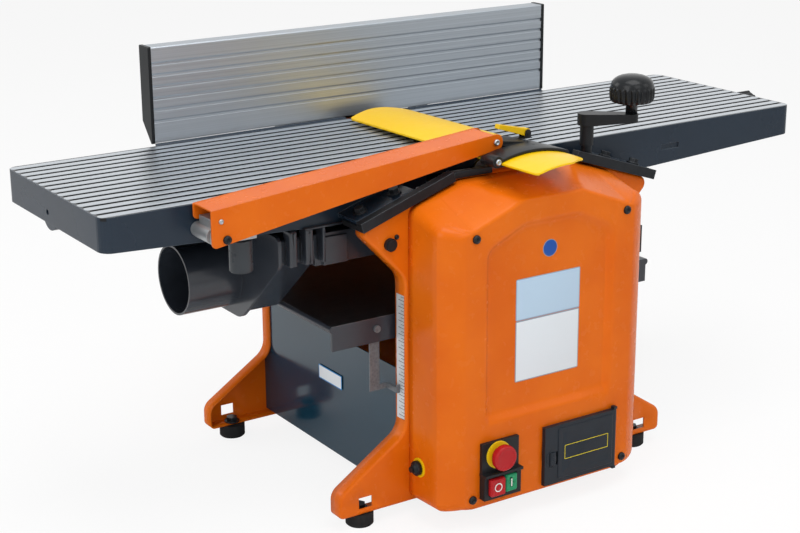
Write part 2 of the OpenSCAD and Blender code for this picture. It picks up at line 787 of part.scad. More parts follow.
// Carriage under the fence: hinge lugs, a cross plate and two rods that slide in the mount
module fence_carriage() {
    plate_z = [table_z + 2, table_z + 10];
    color("dimgray") {
        for (x = lug_x) {
            block([x - lug_w / 2, x + lug_w / 2], [pivot_y, plate_y[0] + 1], [plate_z[0], pivot_z + 1]);
            rod_x(pivot_y, pivot_z, lug_r, [x - lug_w / 2, x + lug_w / 2]);
            rod_x(pivot_y, pivot_z, fence_pin_r, [x - 22, x + 22]);
        }
        block([-95, 85], plate_y, plate_z);
        for (x = rod_x0) {
            rod_y(x, fence_rod_z, fence_rod_r, [plate_y[1] - 8, rod_end_y]);
            block([x - 11, x + 11], [plate_y[1] - 12, plate_y[1]], [plate_z[1] - 1, fence_rod_z + 10]);
        }
    }
}
module fence_mount() {
    color("#2b2d30") difference() {
        union() {
            block([-96, 86], mount_y, [table_z - 4, fence_rod_z + 13]);
            block([-80, 70], [rear_y, mount_y[1]], [table_z - 16, table_z - 3]);
            block([-80, 70], [rear_y, rear_y + 8], [table_z - 72, table_z - 4]);
            for (x = [-76, 60]) slab_x([
                [rear_y + 7, table_z - 72], [mount_y[1], table_z - 15], [rear_y + 7, table_z - 15]
            ], [x, x + 6]);
        }
        for (x = rod_x0) rod_y(x, fence_rod_z, fence_rod_r + fit, [mount_y[0] - 1, mount_y[1] + 1]);
        rod_y(-5, fence_rod_z, 6 + fit, [mount_y[0] + 6, mount_y[1] + 1]);
    }
}
module fence_lock_knob() {
    color("#202022") {
        rod_y(-5, fence_rod_z, 6, [mount_y[0] + 8, mount_y[1] + 9]);
        translate([-5, mount_y[1] + 30, fence_rod_z]) rotate([90, 0, 0]) linear_extrude(22) union() {
            circle(r = 16);
            for (i = [0:4]) rotate(i * 72) translate([15, 0]) circle(r = 6);
        }
    }
}

// Cast bracket on the outfeed table's side that carries the guard arm
module guard_bracket() {
    color("silver") difference() {
        union() {
            block([-470, -408], [arm_y[0] + 5, -half_w], [table_z - 43, table_z - 28]);
            block([-468, -432], [arm_y[0] + 5, arm_y[1] - 6], [table_z - 29, table_z - 12]);
            rod_y(-466, table_z - 33, 10, [arm_y[0] + 12, -half_w]);
        }
        rod_y(arm_pivot[0], arm_pivot[1], arm_pivot_r + fit, [arm_y[0], -half_w - 8]);
        rod_z(guard_knob_x, guard_knob_y, 4 + fit, [table_z - 51, table_z - 32]);
    }
}
module arm_pivot_bolt() {
    color("black") translate([arm_pivot[0], arm_y[0] - 0.3, arm_pivot[1]]) rotate([90, 0, 0]) {
        translate([0, 0, -arm_w + 12]) cylinder(r = arm_pivot_r, h = arm_w - 11);
        cylinder(r = 9, h = 1.5);
        translate([0, 0, 1.5]) cylinder(r = 7.5, h = 5, $fn = 6);
    }
}
module guard_height_knob() {
    color("gray") {
        rod_z(guard_knob_x, guard_knob_y, guard_knob_r, [table_z - 88, table_z - 47]);
        rod_z(guard_knob_x, guard_knob_y, guard_knob_r - 2, [table_z - 90, table_z - 87]);
        rod_z(guard_knob_x, guard_knob_y, 4, [table_z - 55, table_z - 34]);
    }
}

// Guard arm: an inverted channel that narrows towards the guard
arm_end = arm_tip[0] + arm_tip_r;
arm_slope = (arm_tip[1] + arm_tip_r - arm_left_z[1]) / (arm_end - arm_left);
function arm_top(x) = arm_left_z[1] + arm_slope * (x - arm_left);
function arm_outline(lower) = [
    [arm_left, lower, 6], [arm_tip[0] - 4, arm_tip[1] - arm_tip_r, 6],
    [arm_end, arm_tip[1] - arm_tip_r, arm_tip_r - 1],
    [arm_end, arm_tip[1] + arm_tip_r, arm_tip_r - 1], [arm_left, arm_left_z[1], 2]
];
module guard_arm() {
    color("darkorange") difference() {
        union() {
            slab_y(rounded(arm_outline(arm_left_z[0])), [arm_y[0], arm_y[0] + arm_t]);
            slab_y(rounded(arm_outline(arm_left_z[1] - 22)), [arm_y[1] - arm_t, arm_y[1]]);
            slab_y([
                [arm_left + 2, arm_top(arm_left + 2) - arm_t], [arm_tip[0] - 2, arm_top(arm_tip[0] - 2) - arm_t],
                [arm_tip[0] - 2, arm_top(arm_tip[0] - 2) - slip], [arm_left + 2, arm_top(arm_left + 2) - slip]
            ], [arm_y[0] + 1, arm_y[1] - 1]);
            rod_y(arm_tip[0], arm_tip[1], rivet_r, [arm_y[0] - 1.5, arm_y[1] + 1.5]);
        }
        rod_y(arm_pivot[0], arm_pivot[1], arm_pivot_r + fit, [arm_y[0] - 1, arm_y[0] + arm_t + 1]);
    }
}

// Holder that hangs from the arm's end and guides the blade, which slopes a little to the back
module on_blade() {
    translate([0, 0, blade_z]) rotate([-blade_tilt, 0, 0]) translate([0, 0, -blade_z]) children();
}
module blade_arc(r_in, r_out, half) {
    intersection() {
        translate([0, blade_axis_z]) difference() {
            circle(r = r_out, $fn = 256);
            circle(r = r_in, $fn = 256);
        }
        translate([-half, blade_z - 1]) square([2 * half, 60]);
    }
}
module guard_holder() {
    half = blade_w / 2 + 7;
    arch_y = [holder_y[0], arm_y[0] - 1];
    lug_y = [arm_y[0] + arm_t + 1, arm_y[1] - arm_t - 1];
    lug_z = [table_z + 23, table_z + 26];
    clamp_y = [holder_y[1] - 16, holder_y[1]];
    color("#1b1b1d") difference() {
        union() {
            on_blade() {
                translate([0, arch_y[1], 0]) rotate([90, 0, 0]) linear_extrude(arch_y[1] - arch_y[0])
                    blade_arc(blade_arc_r + slip, blade_arc_r + slip + holder_t, half);
                for (side = [-1, 1]) {
                    block([side * (half - 3) - 3, side * (half - 3) + 3], arch_y, [blade_z - 4, blade_z + 9]);
                    block([side * (half - 7) - 7, side * (half - 7) + 7], arch_y, [blade_z - 4, blade_z - slip]);
                }
            }
            rod_y(arm_tip[0], arm_tip[1], 8, lug_y);
            slab_y([
                [arm_tip[0] - 7, lug_z[0]], [22, lug_z[0]], [22, lug_z[1]], [arm_tip[0] + 8, arm_tip[1]],
                [arm_tip[0] - 7, arm_tip[1]]
            ], lug_y);
            block([arm_tip[0] + 15, 22], [arch_y[1] - 14, lug_y[0] + 1], lug_z);
            block([20, clamp_pivot[0] + 7], clamp_y, [lug_z[0], clamp_pivot[1] - 6.6]);
            for (y = [clamp_y[0], clamp_y[1] - 2]) {
                block([clamp_pivot[0] - 5, clamp_pivot[0] + 5], [y, y + 2], [lug_z[0], clamp_pivot[1]]);
                rod_y(clamp_pivot[0], clamp_pivot[1], 5, [y, y + 2]);
            }
            rod_y(clamp_pivot[0], clamp_pivot[1], 2.5, clamp_y);
        }
        rod_y(arm_tip[0], arm_tip[1], rivet_r + fit, [lug_y[0] - 1, lug_y[1] + 1]);
    }
}
module guard_blade() {
    half = blade_w / 2;
    plan = [
        [-half, blade_front, 8], [half - 50, blade_front, 14], [half - 12, blade_front + 25, 16],
        [half, blade_front + 60, 20], [half, blade_back - 12, 8], [0, blade_back + 3, 90], [-half, blade_back - 12, 8]
    ];
    color("gold") on_blade() intersection() {
        translate([0, blade_back + 5, 0]) rotate([90, 0, 0]) linear_extrude(blade_l + 10) union() {
            blade_arc(blade_arc_r - blade_t, blade_arc_r, half);
            for (side = [-1, 1]) translate([side * (half - 2) - 2, blade_z]) square([4, 2]);
        }
        translate([0, 0, blade_z - 5]) linear_extrude(40) polygon(rounded(plan));
    }
}
module guard_clamp() {
    y = [holder_y[1] - 14 + slip, holder_y[1] - 2 - slip];
    color("gold") difference() {
        union() {
            rod_y(clamp_pivot[0], clamp_pivot[1], 6, y);
            slab_y([
                [clamp_pivot[0] - 1, clamp_pivot[1] - 5], [clamp_pivot[0] + 2, clamp_pivot[1] + 5],
                [clamp_pivot[0] - 48, clamp_pivot[1] + 17], [clamp_pivot[0] - 50, clamp_pivot[1] + 11]
            ], y);
        }
        rod_y(clamp_pivot[0], clamp_pivot[1], 2.5 + fit, [y[0] - 1, y[1] + 1]);
    }
}

// Extraction hood: a tray under the cutterblock, a trough outside the thickness table and a spigot
module hood_tray(d) {
    slab_y([
        [hood_left - 2 * d, hood_floor + d], [hood_right - d, hood_floor + d], [hood_right - d, hood_low_top - d],
        [hood_step - d, hood_low_top - d], [hood_step - d, hood_high_top - d], [hood_left - 2 * d, hood_high_top - d]
    ], [-hood_y + d, hood_y - d]);
}
function trough(d) = moved_in(both_sides([
    [40, spigot_z - spigot_r - 4, 30], [hood_y, hood_floor + 10, 12], [hood_y, hood_high_top, 4]
]), d);
module hood_ends() {
    for (my = [0, 1]) mirror([0, my, 0]) children();
}
module dust_hood() {
    color("#4a4d52") difference() {
        union() {
            hood_tray(0);
            slab_x(rounded(trough(0)), [plenum_left, hood_left]);
            slab_x(rounded(trough(-6)), [plenum_left - 2, plenum_left + 3]);
            rod_x(0, spigot_z, spigot_r, [spigot_left, plenum_left + 2]);
            hood_ends() {
                rod_y(pin_x, pin_z, 10, [-hood_y - 8, -hood_y + 1]);
                block([plenum_left + 33, hood_left - 4], [-hood_y - 6, -hood_y + 1],
                    [hood_floor + 12, hood_high_top - 5]);
                block([hood_left + 12, pin_x - 30], [-hood_y - 4, -hood_y + 1], [hood_floor, hood_high_top - 5]);
            }
        }
        hood_tray(hood_t);
        slab_x(rounded(trough(hood_t)), [plenum_left + hood_t, hood_left - hood_t]);
        rod_x(0, spigot_z, spigot_r - hood_t, [spigot_left - 1, plenum_left + 6]);
        block(hood_mouth, [-hood_y + 9, hood_y - 9], [hood_low_top - 6, hood_low_top + 1]);
        hood_ends() rod_y(pin_x, pin_z, pin_r + fit, [-hood_y - 9, -hood_y + hood_t + 1]);
    }
}
module hood_knob() {
    color("black") {
        rod_y(pin_x, pin_z, 9, [-frame_y - 6, -frame_y - 0.2]);
        rod_y(pin_x, pin_z, 7.5, [-frame_y - 8, -frame_y - 5]);
        rod_y(pin_x, pin_z, pin_r, [-frame_y - 1, -hood_y + hood_t]);
    }
}

// Drive cover: a moulded shell with a sloping roof; d moves its surface inwards
module cover_shape(d, front) {
    y1 = -cover_y + corner_round + front - d;
    y2 = -cover_y + crease_round + front - d;
    side_z = crown_z - (cover_x - crown_x) * tan(way_angle) - 2;
    back_half = [
        [cover_x - 12, cover_z + d, 0], [cover_x - d, cover_z + 12, 0], [cover_x - d, side_z - d, 0],
        [crown_x - 1, crown_z - 2 - d, 0]
    ];
    hull() {
        slab_y([for (p = both_sides(back_half)) flat2(p)], [-frame_y - 4, -frame_y - 0.3 + 3 * d]);
        for (side = [-1, 1]) {
            rod_z(side * (cover_x - corner_round), y1, corner_round - 5 - d,
                [cover_z + d, cover_z + d + 1], $fn = 32);
            rod_z(side * (cover_x - corner_round), y1, corner_round - d, [cover_z + 6, shoulder_z - 6], $fn = 32);
            rod_z(side * (cover_x - corner_round), y1, corner_round - 6 - d,
                [shoulder_z - d - 1, shoulder_z - d], $fn = 32);
        }
        rod_x(y2, crease_z - crease_round, crease_round - d, [-crease_x, crease_x], $fn = 32);
    }
}
panel_half = [[108, foot_h + 137, 8], [108, table_z - 88, 24], [46, table_z - 60, 60]];
module drive_cover() {
    color("darkorange") difference() {
        cover_shape(0, 0);
        cover_shape(cover_t, cover_front_t);
        slab_y(rounded(both_sides(panel_half)), [-cover_y - 1, -cover_y + panel_d]);
        block([switch_x[0] + 4, switch_x[1] - 4], [-cover_y - 1, -cover_y + 20], [switch_z[0] + 3, switch_z[1] - 4]);
        block([lid_x + 4, lid_x + lid_w - 4], [-cover_y - 1, -cover_y + 20], [lid_z + 4, lid_z + lid_h - 4]);
        for (p = screw_at, side = [-1, 1]) rod_y(side * p[0], p[1], 3, [-cover_y - 1, -cover_y + 40]);
        rod_x(reset_at[0], reset_at[1], 6, [-cover_x - 1, -cover_x + 20]);
        block([cover_x - 20, cover_x + 1], [inlet_y[0] + 4, inlet_y[1] - 4], [inlet_z[0] + 4, inlet_z[1] - 4]);
    }
}
module cover_screws() {
    color("black") for (p = screw_at, side = [-1, 1]) {
        rod_y(side * p[0], p[1], 3 - fit, [-cover_y - 1, -cover_y + 14]);
        rod_y(side * p[0], p[1], 6, [-cover_y - 4, -cover_y - 0.1]);
    }
}

// Switch housing with the emergency stop above the stop and start buttons
module switch_housing() {
    lip_y = -cover_y - 16;
    color("#1b1b1d") difference() {
        union() {
            block(switch_x, [-cover_y - plate_t, -cover_y - 0.1], switch_z);
            block([switch_x[0] + 5, switch_x[1] - 5], [-cover_y - 1, -cover_y + 32],
                [switch_z[0] + 5, switch_z[1] - 5]);
            block(switch_x, [lip_y + 4, -cover_y - 1], [switch_z[0], buttons_z[1] + 4]);
            block([switch_x[0] - 1, switch_x[1] + 1], [lip_y, -cover_y - 1], [buttons_z[1] + 3, buttons_z[1] + 7]);
            rod_y(stop_at[0], stop_at[1], 20, [-cover_y - plate_t - 2, -cover_y - plate_t + 1]);
        }
        for (x = [stop_x, start_x])
            block([x[0] - slip, x[1] + slip], [lip_y - 1, -cover_y + 6], [buttons_z[0] - slip, buttons_z[1] + slip]);
        rod_y(stop_at[0], stop_at[1], 11 + fit, [-cover_y - 20, -cover_y + 14]);
    }
}
module emergency_stop() {
    y = -cover_y - plate_t - 2;
    color("red") {
        rod_y(stop_at[0], stop_at[1], 11, [y - 10, -cover_y + 6]);
        translate([stop_at[0], y - stop_travel - 1, stop_at[1]]) rotate([90, 0, 0]) rotate_extrude() polygon(rounded([
            [0, 0, 0], [stop_d / 2 - 6, 0, 0], [stop_d / 2, 8, 2], [stop_d / 2, 18, 6], [0, 20, 0]
        ], 5));
    }
}
module stop_button() {
    color("crimson") block(stop_x, [-cover_y - 16 - button_travel, -cover_y + 1], buttons_z);
}
module start_button() {
    color("seagreen") block(start_x, [-cover_y - 12 - button_travel, -cover_y + 1], buttons_z);
}

// Overload reset button on the cover's left wall
module reset_bezel() {
    color("gold") difference() {
        union() {
            rod_x(reset_at[0], reset_at[1], 14, [-cover_x - 2, -cover_x - 0.1]);
            rod_x(reset_at[0], reset_at[1], 9, [-cover_x - 8, -cover_x - 1]);
            rod_x(reset_at[0], reset_at[1], 5.8, [-cover_x - 1, -cover_x + 16]);
        }
        rod_x(reset_at[0], reset_at[1], 4 + fit, [-cover_x - 9, -cover_x + 12]);
    }
}
module reset_button() {
    color("black") rod_x(reset_at[0], reset_at[1], 4, [-cover_x - 16, -cover_x + 8]);
}

// Toolbox: a pocket in the cover behind a hinged lid with a sliding latch
module toolbox() {
    x = [lid_x + 5, lid_x + lid_w - 5];
    z = [lid_z + 5, lid_z + lid_h - 5];
    ear_x = [hinge_at[0] - lid_t / 2, hinge_at[0] + lid_t / 2];
    color("#2a2c2f") {
        difference() {
            union() {
                block(x, [-cover_y - 0.2, -cover_y + box_d], z);
                block([lid_x, lid_x + lid_w], [-cover_y - 1, -cover_y - 0.1], [lid_z, lid_z + lid_h]);
            }
            block([x[0] + 2, x[1] - 2], [-cover_y - 2, -cover_y + box_d - 2], [z[0] + 2, z[1] - 2]);
        }
        for (end = [[lid_z, -1], [lid_z + lid_h, 1]]) {
            tip = end[0] + end[1] * 4;
            rim = end[0] + end[1] * slip;
            root = end[0] - end[1] * 8;
            block(ear_x, [lid_back_y - lid_t, -cover_y - 0.1], [min(tip, rim), max(tip, rim)]);
            block(ear_x, [-cover_y - 1, -cover_y - 0.1], [min(tip, end[0]), max(tip, end[0])]);
            rod_z(hinge_at[0], hinge_at[1], hinge_pin_r, [min(tip, root), max(tip, root)]);
        }
    }
}
module toolbox_lid() {
    y = [lid_back_y - lid_t, lid_back_y];
    color("#2f3236") difference() {
        union() {
            block([lid_x, hinge_at[0]], y, [lid_z, lid_z + lid_h]);
            rod_z(hinge_at[0], hinge_at[1], lid_t / 2, [lid_z, lid_z + lid_h]);
        }
        rod_z(hinge_at[0], hinge_at[1], hinge_pin_r + fit, [lid_z - 1, lid_z + lid_h + 1]);
        block([latch_x[0] - slip, latch_x[1] + latch_travel + slip], [y[0] - 1, y[1] - 1.5],
            [latch_z[0] - 0.1, latch_z[1] + 0.1]);
    }
}
module toolbox_latch() {
    color("#1b1b1d") block(latch_x, [lid_back_y - lid_t - 1.3, lid_back_y - 1.6], latch_z);
}

// Mains inlet on the cover's right wall
module power_inlet() {
    color("#1b1b1d") difference() {
        union() {
            block([cover_x + 0.1, cover_x + 5], inlet_y, inlet_z);
            block([cover_x - 24, cover_x + 1], [inlet_y[0] + 5, inlet_y[1] - 5], [inlet_z[0] + 5, inlet_z[1] - 5]);
        }
        block([cover_x - 16, cover_x + 6], [inlet_y[0] + 8, inlet_y[1] - 8], [inlet_z[0] + 9, inlet_z[1] - 9]);
    }
}

front_frame();
rear_frame();
tie_bars();
left_end_panel();
right_end_panel();
rubber_feet();
frame_bolts();
table_rails();
drive_cover();
cover_screws();
outfeed_table();
infeed_table();
infeed_bolts();
depth_knob();
bearing_blocks();
cutterblock();
planer_knives();
cutter_pulley();
feed_gearbox();
infeed_roller();
outfeed_roller();
kickback_pawls();
motor();
motor_shaft();
drive_belt();
thickness_table();
bed_pointer();
depth_scale();
crank_screw();
crank_arm();
crank_knob();
lift_screw_front();
lift_screw_rear_left();
lift_screw_rear_right();
lift_chain();
fence_mount();
fence_carriage();
fence_plate();
fence_caps();
fence_lock_knob();
guard_bracket();
arm_pivot_bolt();
guard_height_knob();
guard_arm();
guard_holder();
guard_blade();
guard_clamp();
dust_hood();
hood_knob();
switch_housing();
emergency_stop();
stop_button();
start_button();
reset_bezel();
reset_button();
toolbox();
toolbox_lid();
toolbox_latch();
power_inlet();
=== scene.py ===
import bpy
import numpy as np
from mathutils.geometry import delaunay_2d_cdt
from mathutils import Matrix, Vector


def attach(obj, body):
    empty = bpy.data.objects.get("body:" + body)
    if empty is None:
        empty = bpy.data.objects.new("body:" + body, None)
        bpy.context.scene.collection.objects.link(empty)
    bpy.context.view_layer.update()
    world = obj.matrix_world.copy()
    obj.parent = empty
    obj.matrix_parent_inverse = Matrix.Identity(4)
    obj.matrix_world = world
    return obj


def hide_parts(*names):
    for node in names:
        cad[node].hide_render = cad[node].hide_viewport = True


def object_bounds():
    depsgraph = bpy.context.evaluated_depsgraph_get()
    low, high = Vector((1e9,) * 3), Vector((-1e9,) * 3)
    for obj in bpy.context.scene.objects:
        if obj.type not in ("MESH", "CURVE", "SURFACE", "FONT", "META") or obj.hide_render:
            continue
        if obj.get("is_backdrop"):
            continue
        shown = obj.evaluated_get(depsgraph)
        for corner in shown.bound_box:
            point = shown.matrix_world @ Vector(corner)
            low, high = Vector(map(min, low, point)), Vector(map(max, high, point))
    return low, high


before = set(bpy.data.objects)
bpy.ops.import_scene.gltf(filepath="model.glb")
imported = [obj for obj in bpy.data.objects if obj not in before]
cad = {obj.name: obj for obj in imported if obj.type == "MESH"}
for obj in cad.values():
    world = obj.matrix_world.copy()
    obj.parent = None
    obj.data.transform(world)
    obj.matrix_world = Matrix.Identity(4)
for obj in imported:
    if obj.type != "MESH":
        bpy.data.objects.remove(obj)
cad_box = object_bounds()
scene = bpy.context.scene

# Camera: a long lens at standing height, in front of the outfeed end.
# It is level to a third of a degree, with no shift and no depth of field.
camera = bpy.data.objects.new("camera", bpy.data.cameras.new("camera"))
camera.data.sensor_width = 36
camera.data.lens = 74.796
camera.location = (-1.37182, -2.01134, 1.04748)
camera.rotation_euler = np.radians([72.5897, 0.3244, -33.3857])
scene.collection.objects.link(camera)
scene.camera = camera
scene.view_settings.view_transform = "Standard"


# Studio: a white floor that keeps the shadow, a white surround and five soft boxes.
# Camera, glossy and transmitted rays see the surround at strength 1; it lights the object more gently.
def linear(hex_code):
    """Linear RGBA of an sRGB hex colour: each channel by the sRGB curve."""
    s = np.array([int(hex_code[i:i + 2], 16) for i in (1, 3, 5)]) / 255
    return (*np.where(s <= 0.04045, s / 12.92, ((s + 0.055) / 1.055) ** 2.4), 1)


def add(tree, kind, settings=None, links=None):
    """Adds a shader node; settings are its properties or sockets, links its sockets' sources."""
    made = tree.nodes.new("ShaderNode" + kind)
    for key, value in (settings or {}).items():
        if isinstance(key, str) and hasattr(made, key):
            setattr(made, key, value)
        else:
            made.inputs[key].default_value = value
    for key, source in (links or {}).items():
        tree.links.new(source, made.inputs[key])
    return made


def calc(tree, operation, first, second=0.0):
    """Result of a maths node whose operands are numbers or sources."""
    made = add(tree, "Math", {"operation": operation})
    for socket, value in zip(made.inputs, (first, second)):
        if isinstance(value, (int, float)):
            socket.default_value = value
        else:
            tree.links.new(value, socket)
    return made.outputs[0]


def spread(tree, value, low, high, start=0.0, end=1.0):
    """A source mapped from start..end to low..high, and held at those limits."""
    settings = {"From Min": start, "From Max": end, "To Min": low, "To Max": high}
    return add(tree, "MapRange", settings, {"Value": value}).outputs[0]


ambient, paper_glow = 0.44, 0.86
world = bpy.data.worlds.new("white_surround")
world.use_nodes = True
scene.world = world
sky = world.node_tree
sky.nodes.clear()
ray = add(sky, "LightPath").outputs
seen = calc(sky, "MAXIMUM", ray["Is Camera Ray"], ray["Is Glossy Ray"])
seen = calc(sky, "MAXIMUM", seen, ray["Is Transmission Ray"])
glow = add(sky, "Background", {"Color": (1, 1, 1, 1)}, {"Strength": spread(sky, seen, ambient, 1)})
add(sky, "OutputWorld", {}, {"Surface": glow.outputs[0]})

floor = bpy.data.objects.new("floor", bpy.data.meshes.new("floor"))
floor.data.from_pydata([(-9, -9, 0), (9, -9, 0), (9, 9, 0), (-9, 9, 0)], [], [(0, 1, 2, 3)])
scene.collection.objects.link(floor)
floor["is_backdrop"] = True
paper = bpy.data.materials.new("white_paper_floor")
paper.use_nodes = True
tree = paper.node_tree
tree.nodes.clear()
matt = add(tree, "BsdfDiffuse", {"Color": (0.93, 0.93, 0.93, 1)})
lit = add(tree, "Emission", {"Color": (1, 1, 1, 1), "Strength": 1})
share = calc(tree, "MULTIPLY", add(tree, "LightPath").outputs["Is Camera Ray"], paper_glow)
both = add(tree, "MixShader", {}, {0: share, 1: matt.outputs[0], 2: lit.outputs[0]})
add(tree, "OutputMaterial", {}, {"Surface": both.outputs[0]})
floor.data.materials.append(paper)

for name, at, turn, size, power in (
    ("soft_box_left", (-2.9, -1.3, 2.0), (56, 0, -66), 1.8, 30),
    ("soft_box_front", (-0.3, -2.9, 2.2), (55.8, 0, -6.3), 1.5, 14),
    ("soft_box_right", (2.3, -2.4, 2.2), (50, 0, 44), 1.5, 9),
    ("soft_box_top", (-0.1, -0.7, 3.0), (10, 0, 0), 2.0, 46),
    ("soft_box_back", (-2.2, 2.6, 2.2), (61.5, 0, -139.8), 1.6, 24),
):
    lamp = bpy.data.objects.new(name, bpy.data.lights.new(name, "AREA"))
    lamp.data.size = size
    lamp.data.energy = power
    lamp.location = at
    lamp.rotation_euler = np.radians(turn)
    scene.collection.objects.link(lamp)


# Side frames: two sheets of 2.5 mm steel, pressed with a flange turned in all round,
# square holes in the legs, and an orange powder coat baked on.
def both_sides(half):
    """Corners of the right half, then their mirror images, anticlockwise."""
    half = np.asarray(half, float)
    return np.concatenate([half, half[::-1] * [-1, 1, 1]])


def loop(corners, arc, run):
    """Closed outline through (x, z, radius) corners: an arc by slerp at each, then an even straight run."""
    c = np.asarray(corners, float)
    p, r = c[:, :2], c[:, 2:]
    u = np.roll(p, 1, 0) - p
    u /= np.linalg.norm(u, axis=1, keepdims=True)
    v = np.roll(p, -1, 0) - p
    v /= np.linalg.norm(v, axis=1, keepdims=True)
    half = np.arccos(np.clip((u * v).sum(1, keepdims=True), -1, 1)) / 2
    centre = p + (u + v) / np.linalg.norm(u + v, axis=1, keepdims=True) * r / np.sin(half)
    start, end = p + u * r / np.tan(half), p + v * r / np.tan(half)
    sweep = (np.pi - 2 * half)[:, None]
    k = np.linspace(0, 1, arc + 1)[None, :, None]
    bend = centre[:, None] + (np.sin((1 - k) * sweep) * (start - centre)[:, None]
                              + np.sin(k * sweep) * (end - centre)[:, None]) / np.sin(sweep)
    k = np.linspace(0, 1, run + 1)[None, 1:-1, None]
    straight = end[:, None] * (1 - k) + np.roll(start, -1, 0)[:, None] * k
    return np.concatenate([bend, straight], 1).reshape(-1, 2)


def inward(path):
    """Unit normals of a closed anticlockwise outline, pointing to its inside: the tangent turned left."""
    t = np.roll(path, -1, 0) - np.roll(path, 1, 0)
    t /= np.linalg.norm(t, axis=1, keepdims=True)
    return np.stack([-t[:, 1], t[:, 0]], 1)


def bands(rings, count):
    """Quads between consecutive closed rings of count points each."""
    i = (np.arange(rings - 1) * count)[:, None] + np.arange(count)[None]
    j = (np.arange(rings - 1) * count)[:, None] + (np.arange(count)[None] + 1) % count
    return np.stack([i, j, j + count, i + count], -1).reshape(-1, 4)


def put(name, points, faces, body, slot, material, smooth=True):
    """Makes a mesh object of points and faces at the origin, riding on a body."""
    mesh = bpy.data.meshes.new(name)
    mesh.from_pydata(np.asarray(points, float).tolist(), [], [list(map(int, f)) for f in faces])
    mesh.polygons.foreach_set("use_smooth", np.full(len(mesh.polygons), smooth))
    mesh.materials.append(material)
    piece = bpy.data.objects.new(name, mesh)
    scene.collection.objects.link(piece)
    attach(piece, body)
    return piece


def finish(name, metallic=0.0, rough=0.5, shine=0.5):
    """A new material with a principled surface; gives it, its tree, surface and object coordinates."""
    made = bpy.data.materials.new(name)
    made.use_nodes = True
    tree = made.node_tree
    tree.nodes.clear()
    settings = {"Metallic": metallic, "Roughness": rough, "Specular IOR Level": shine}
    skin = add(tree, "BsdfPrincipled", settings)
    add(tree, "OutputMaterial", {}, {"Surface": skin.outputs[0]})
    return made, tree, skin, add(tree, "TexCoord").outputs["Object"]


def noise(tree, where, scale, detail, distortion=0.0):
    """Factor of a noise with scale waves to the metre."""
    settings = {"Scale": scale, "Detail": detail, "Distortion": distortion}
    return add(tree, "TexNoise", settings, {"Vector": where}).outputs["Fac"]


def blend(tree, share, first, second):
    """Two colours, each a hex code or a source, mixed by a share of the second."""
    made = add(tree, "Mix", {"data_type": "RGBA"}, {0: share})
    for socket, colour in ((made.inputs[6], first), (made.inputs[7], second)):
        if isinstance(colour, str):
            socket.default_value = linear(colour)
        else:
            tree.links.new(colour, socket)
    return made.outputs[2]


def rounded(tree, radius):
    """Normal that is rounded over edges by a radius."""
    return add(tree, "Bevel", {"samples": 4, "Radius": radius}).outputs[0]


def worn(tree, soft, start, end, most):
    """Wear at edges: 0 to most as the dot of the rounded and the flat normal goes from start to end."""
    flat = add(tree, "NewGeometry").outputs["Normal"]
    turned = add(tree, "VectorMath", {"operation": "DOT_PRODUCT"}, {0: soft, 1: flat}).outputs["Value"]
    return spread(tree, turned, 0, most, start, end)


def bumped(tree, height, strength, depth, normal=None):
    """Normal of a bumped surface, laid over another normal where there is one."""
    links = {"Height": height}
    if normal is not None:
        links["Normal"] = normal
    return add(tree, "Bump", {"Strength": strength, "Distance": depth}, links).outputs[0]


def wire(skin, colour, rough=None, normal=None, metallic=None):
    """Links sources to a surface's sockets."""
    sources = {"Base Color": colour, "Roughness": rough, "Normal": normal, "Metallic": metallic}
    for socket, source in sources.items():
        if source is not None:
            skin.id_data.links.new(source, skin.inputs[socket])


def dress(material, *names):
    """Gives CAD nodes a material in place of their own."""
    for n in names:
        cad[n].data.materials.clear()
        cad[n].data.materials.append(material)


# Powder coat: sprayed polyester, baked; a faint orange peel of about 3 mm and a soft gloss.
# Edges are a little paler, in patches.
orange_coat, tree, skin, where = finish("orange_powder_coat", rough=0.3, shine=0.14)
tone = add(tree, "ValToRGB", {}, {"Fac": noise(tree, where, 9, 4)})
for stop, place, colour in zip(tone.color_ramp.elements, (0.35, 0.65), ("#d46008", "#dd6b0f")):
    stop.position = place
    stop.color = linear(colour)
soft = rounded(tree, 0.0016)
patchy = noise(tree, where, 70, 3)
paler_edges = calc(tree, "MULTIPLY", worn(tree, soft, 0.995, 0.86, 0.55), patchy)
peel = bumped(tree, noise(tree, where, 330, 2), 0.06, 0.0004, soft)
wire(skin, blend(tree, paler_edges, tone.outputs[0], "#f09550"), spread(tree, patchy, 0.2, 0.32), peel)

front_face, rear_face = -0.213, 0.203
frame_loop = loop(both_sides([
    [0.293, 0.020, 0.008], [0.293, 0.055, 0.020], [0.183, 0.127, 0.030],
    [0.183, 0.3548, 0.030], [0.256, 0.4308, 0.012], [0.100, 0.483, 0.010],
]), 10, 8)
leg_hole = np.array([[-0.011, -0.0085], [0.011, -0.0085], [0.011, 0.0085], [-0.011, 0.0085]])
hole_x, hole_z = 0.251, 0.038


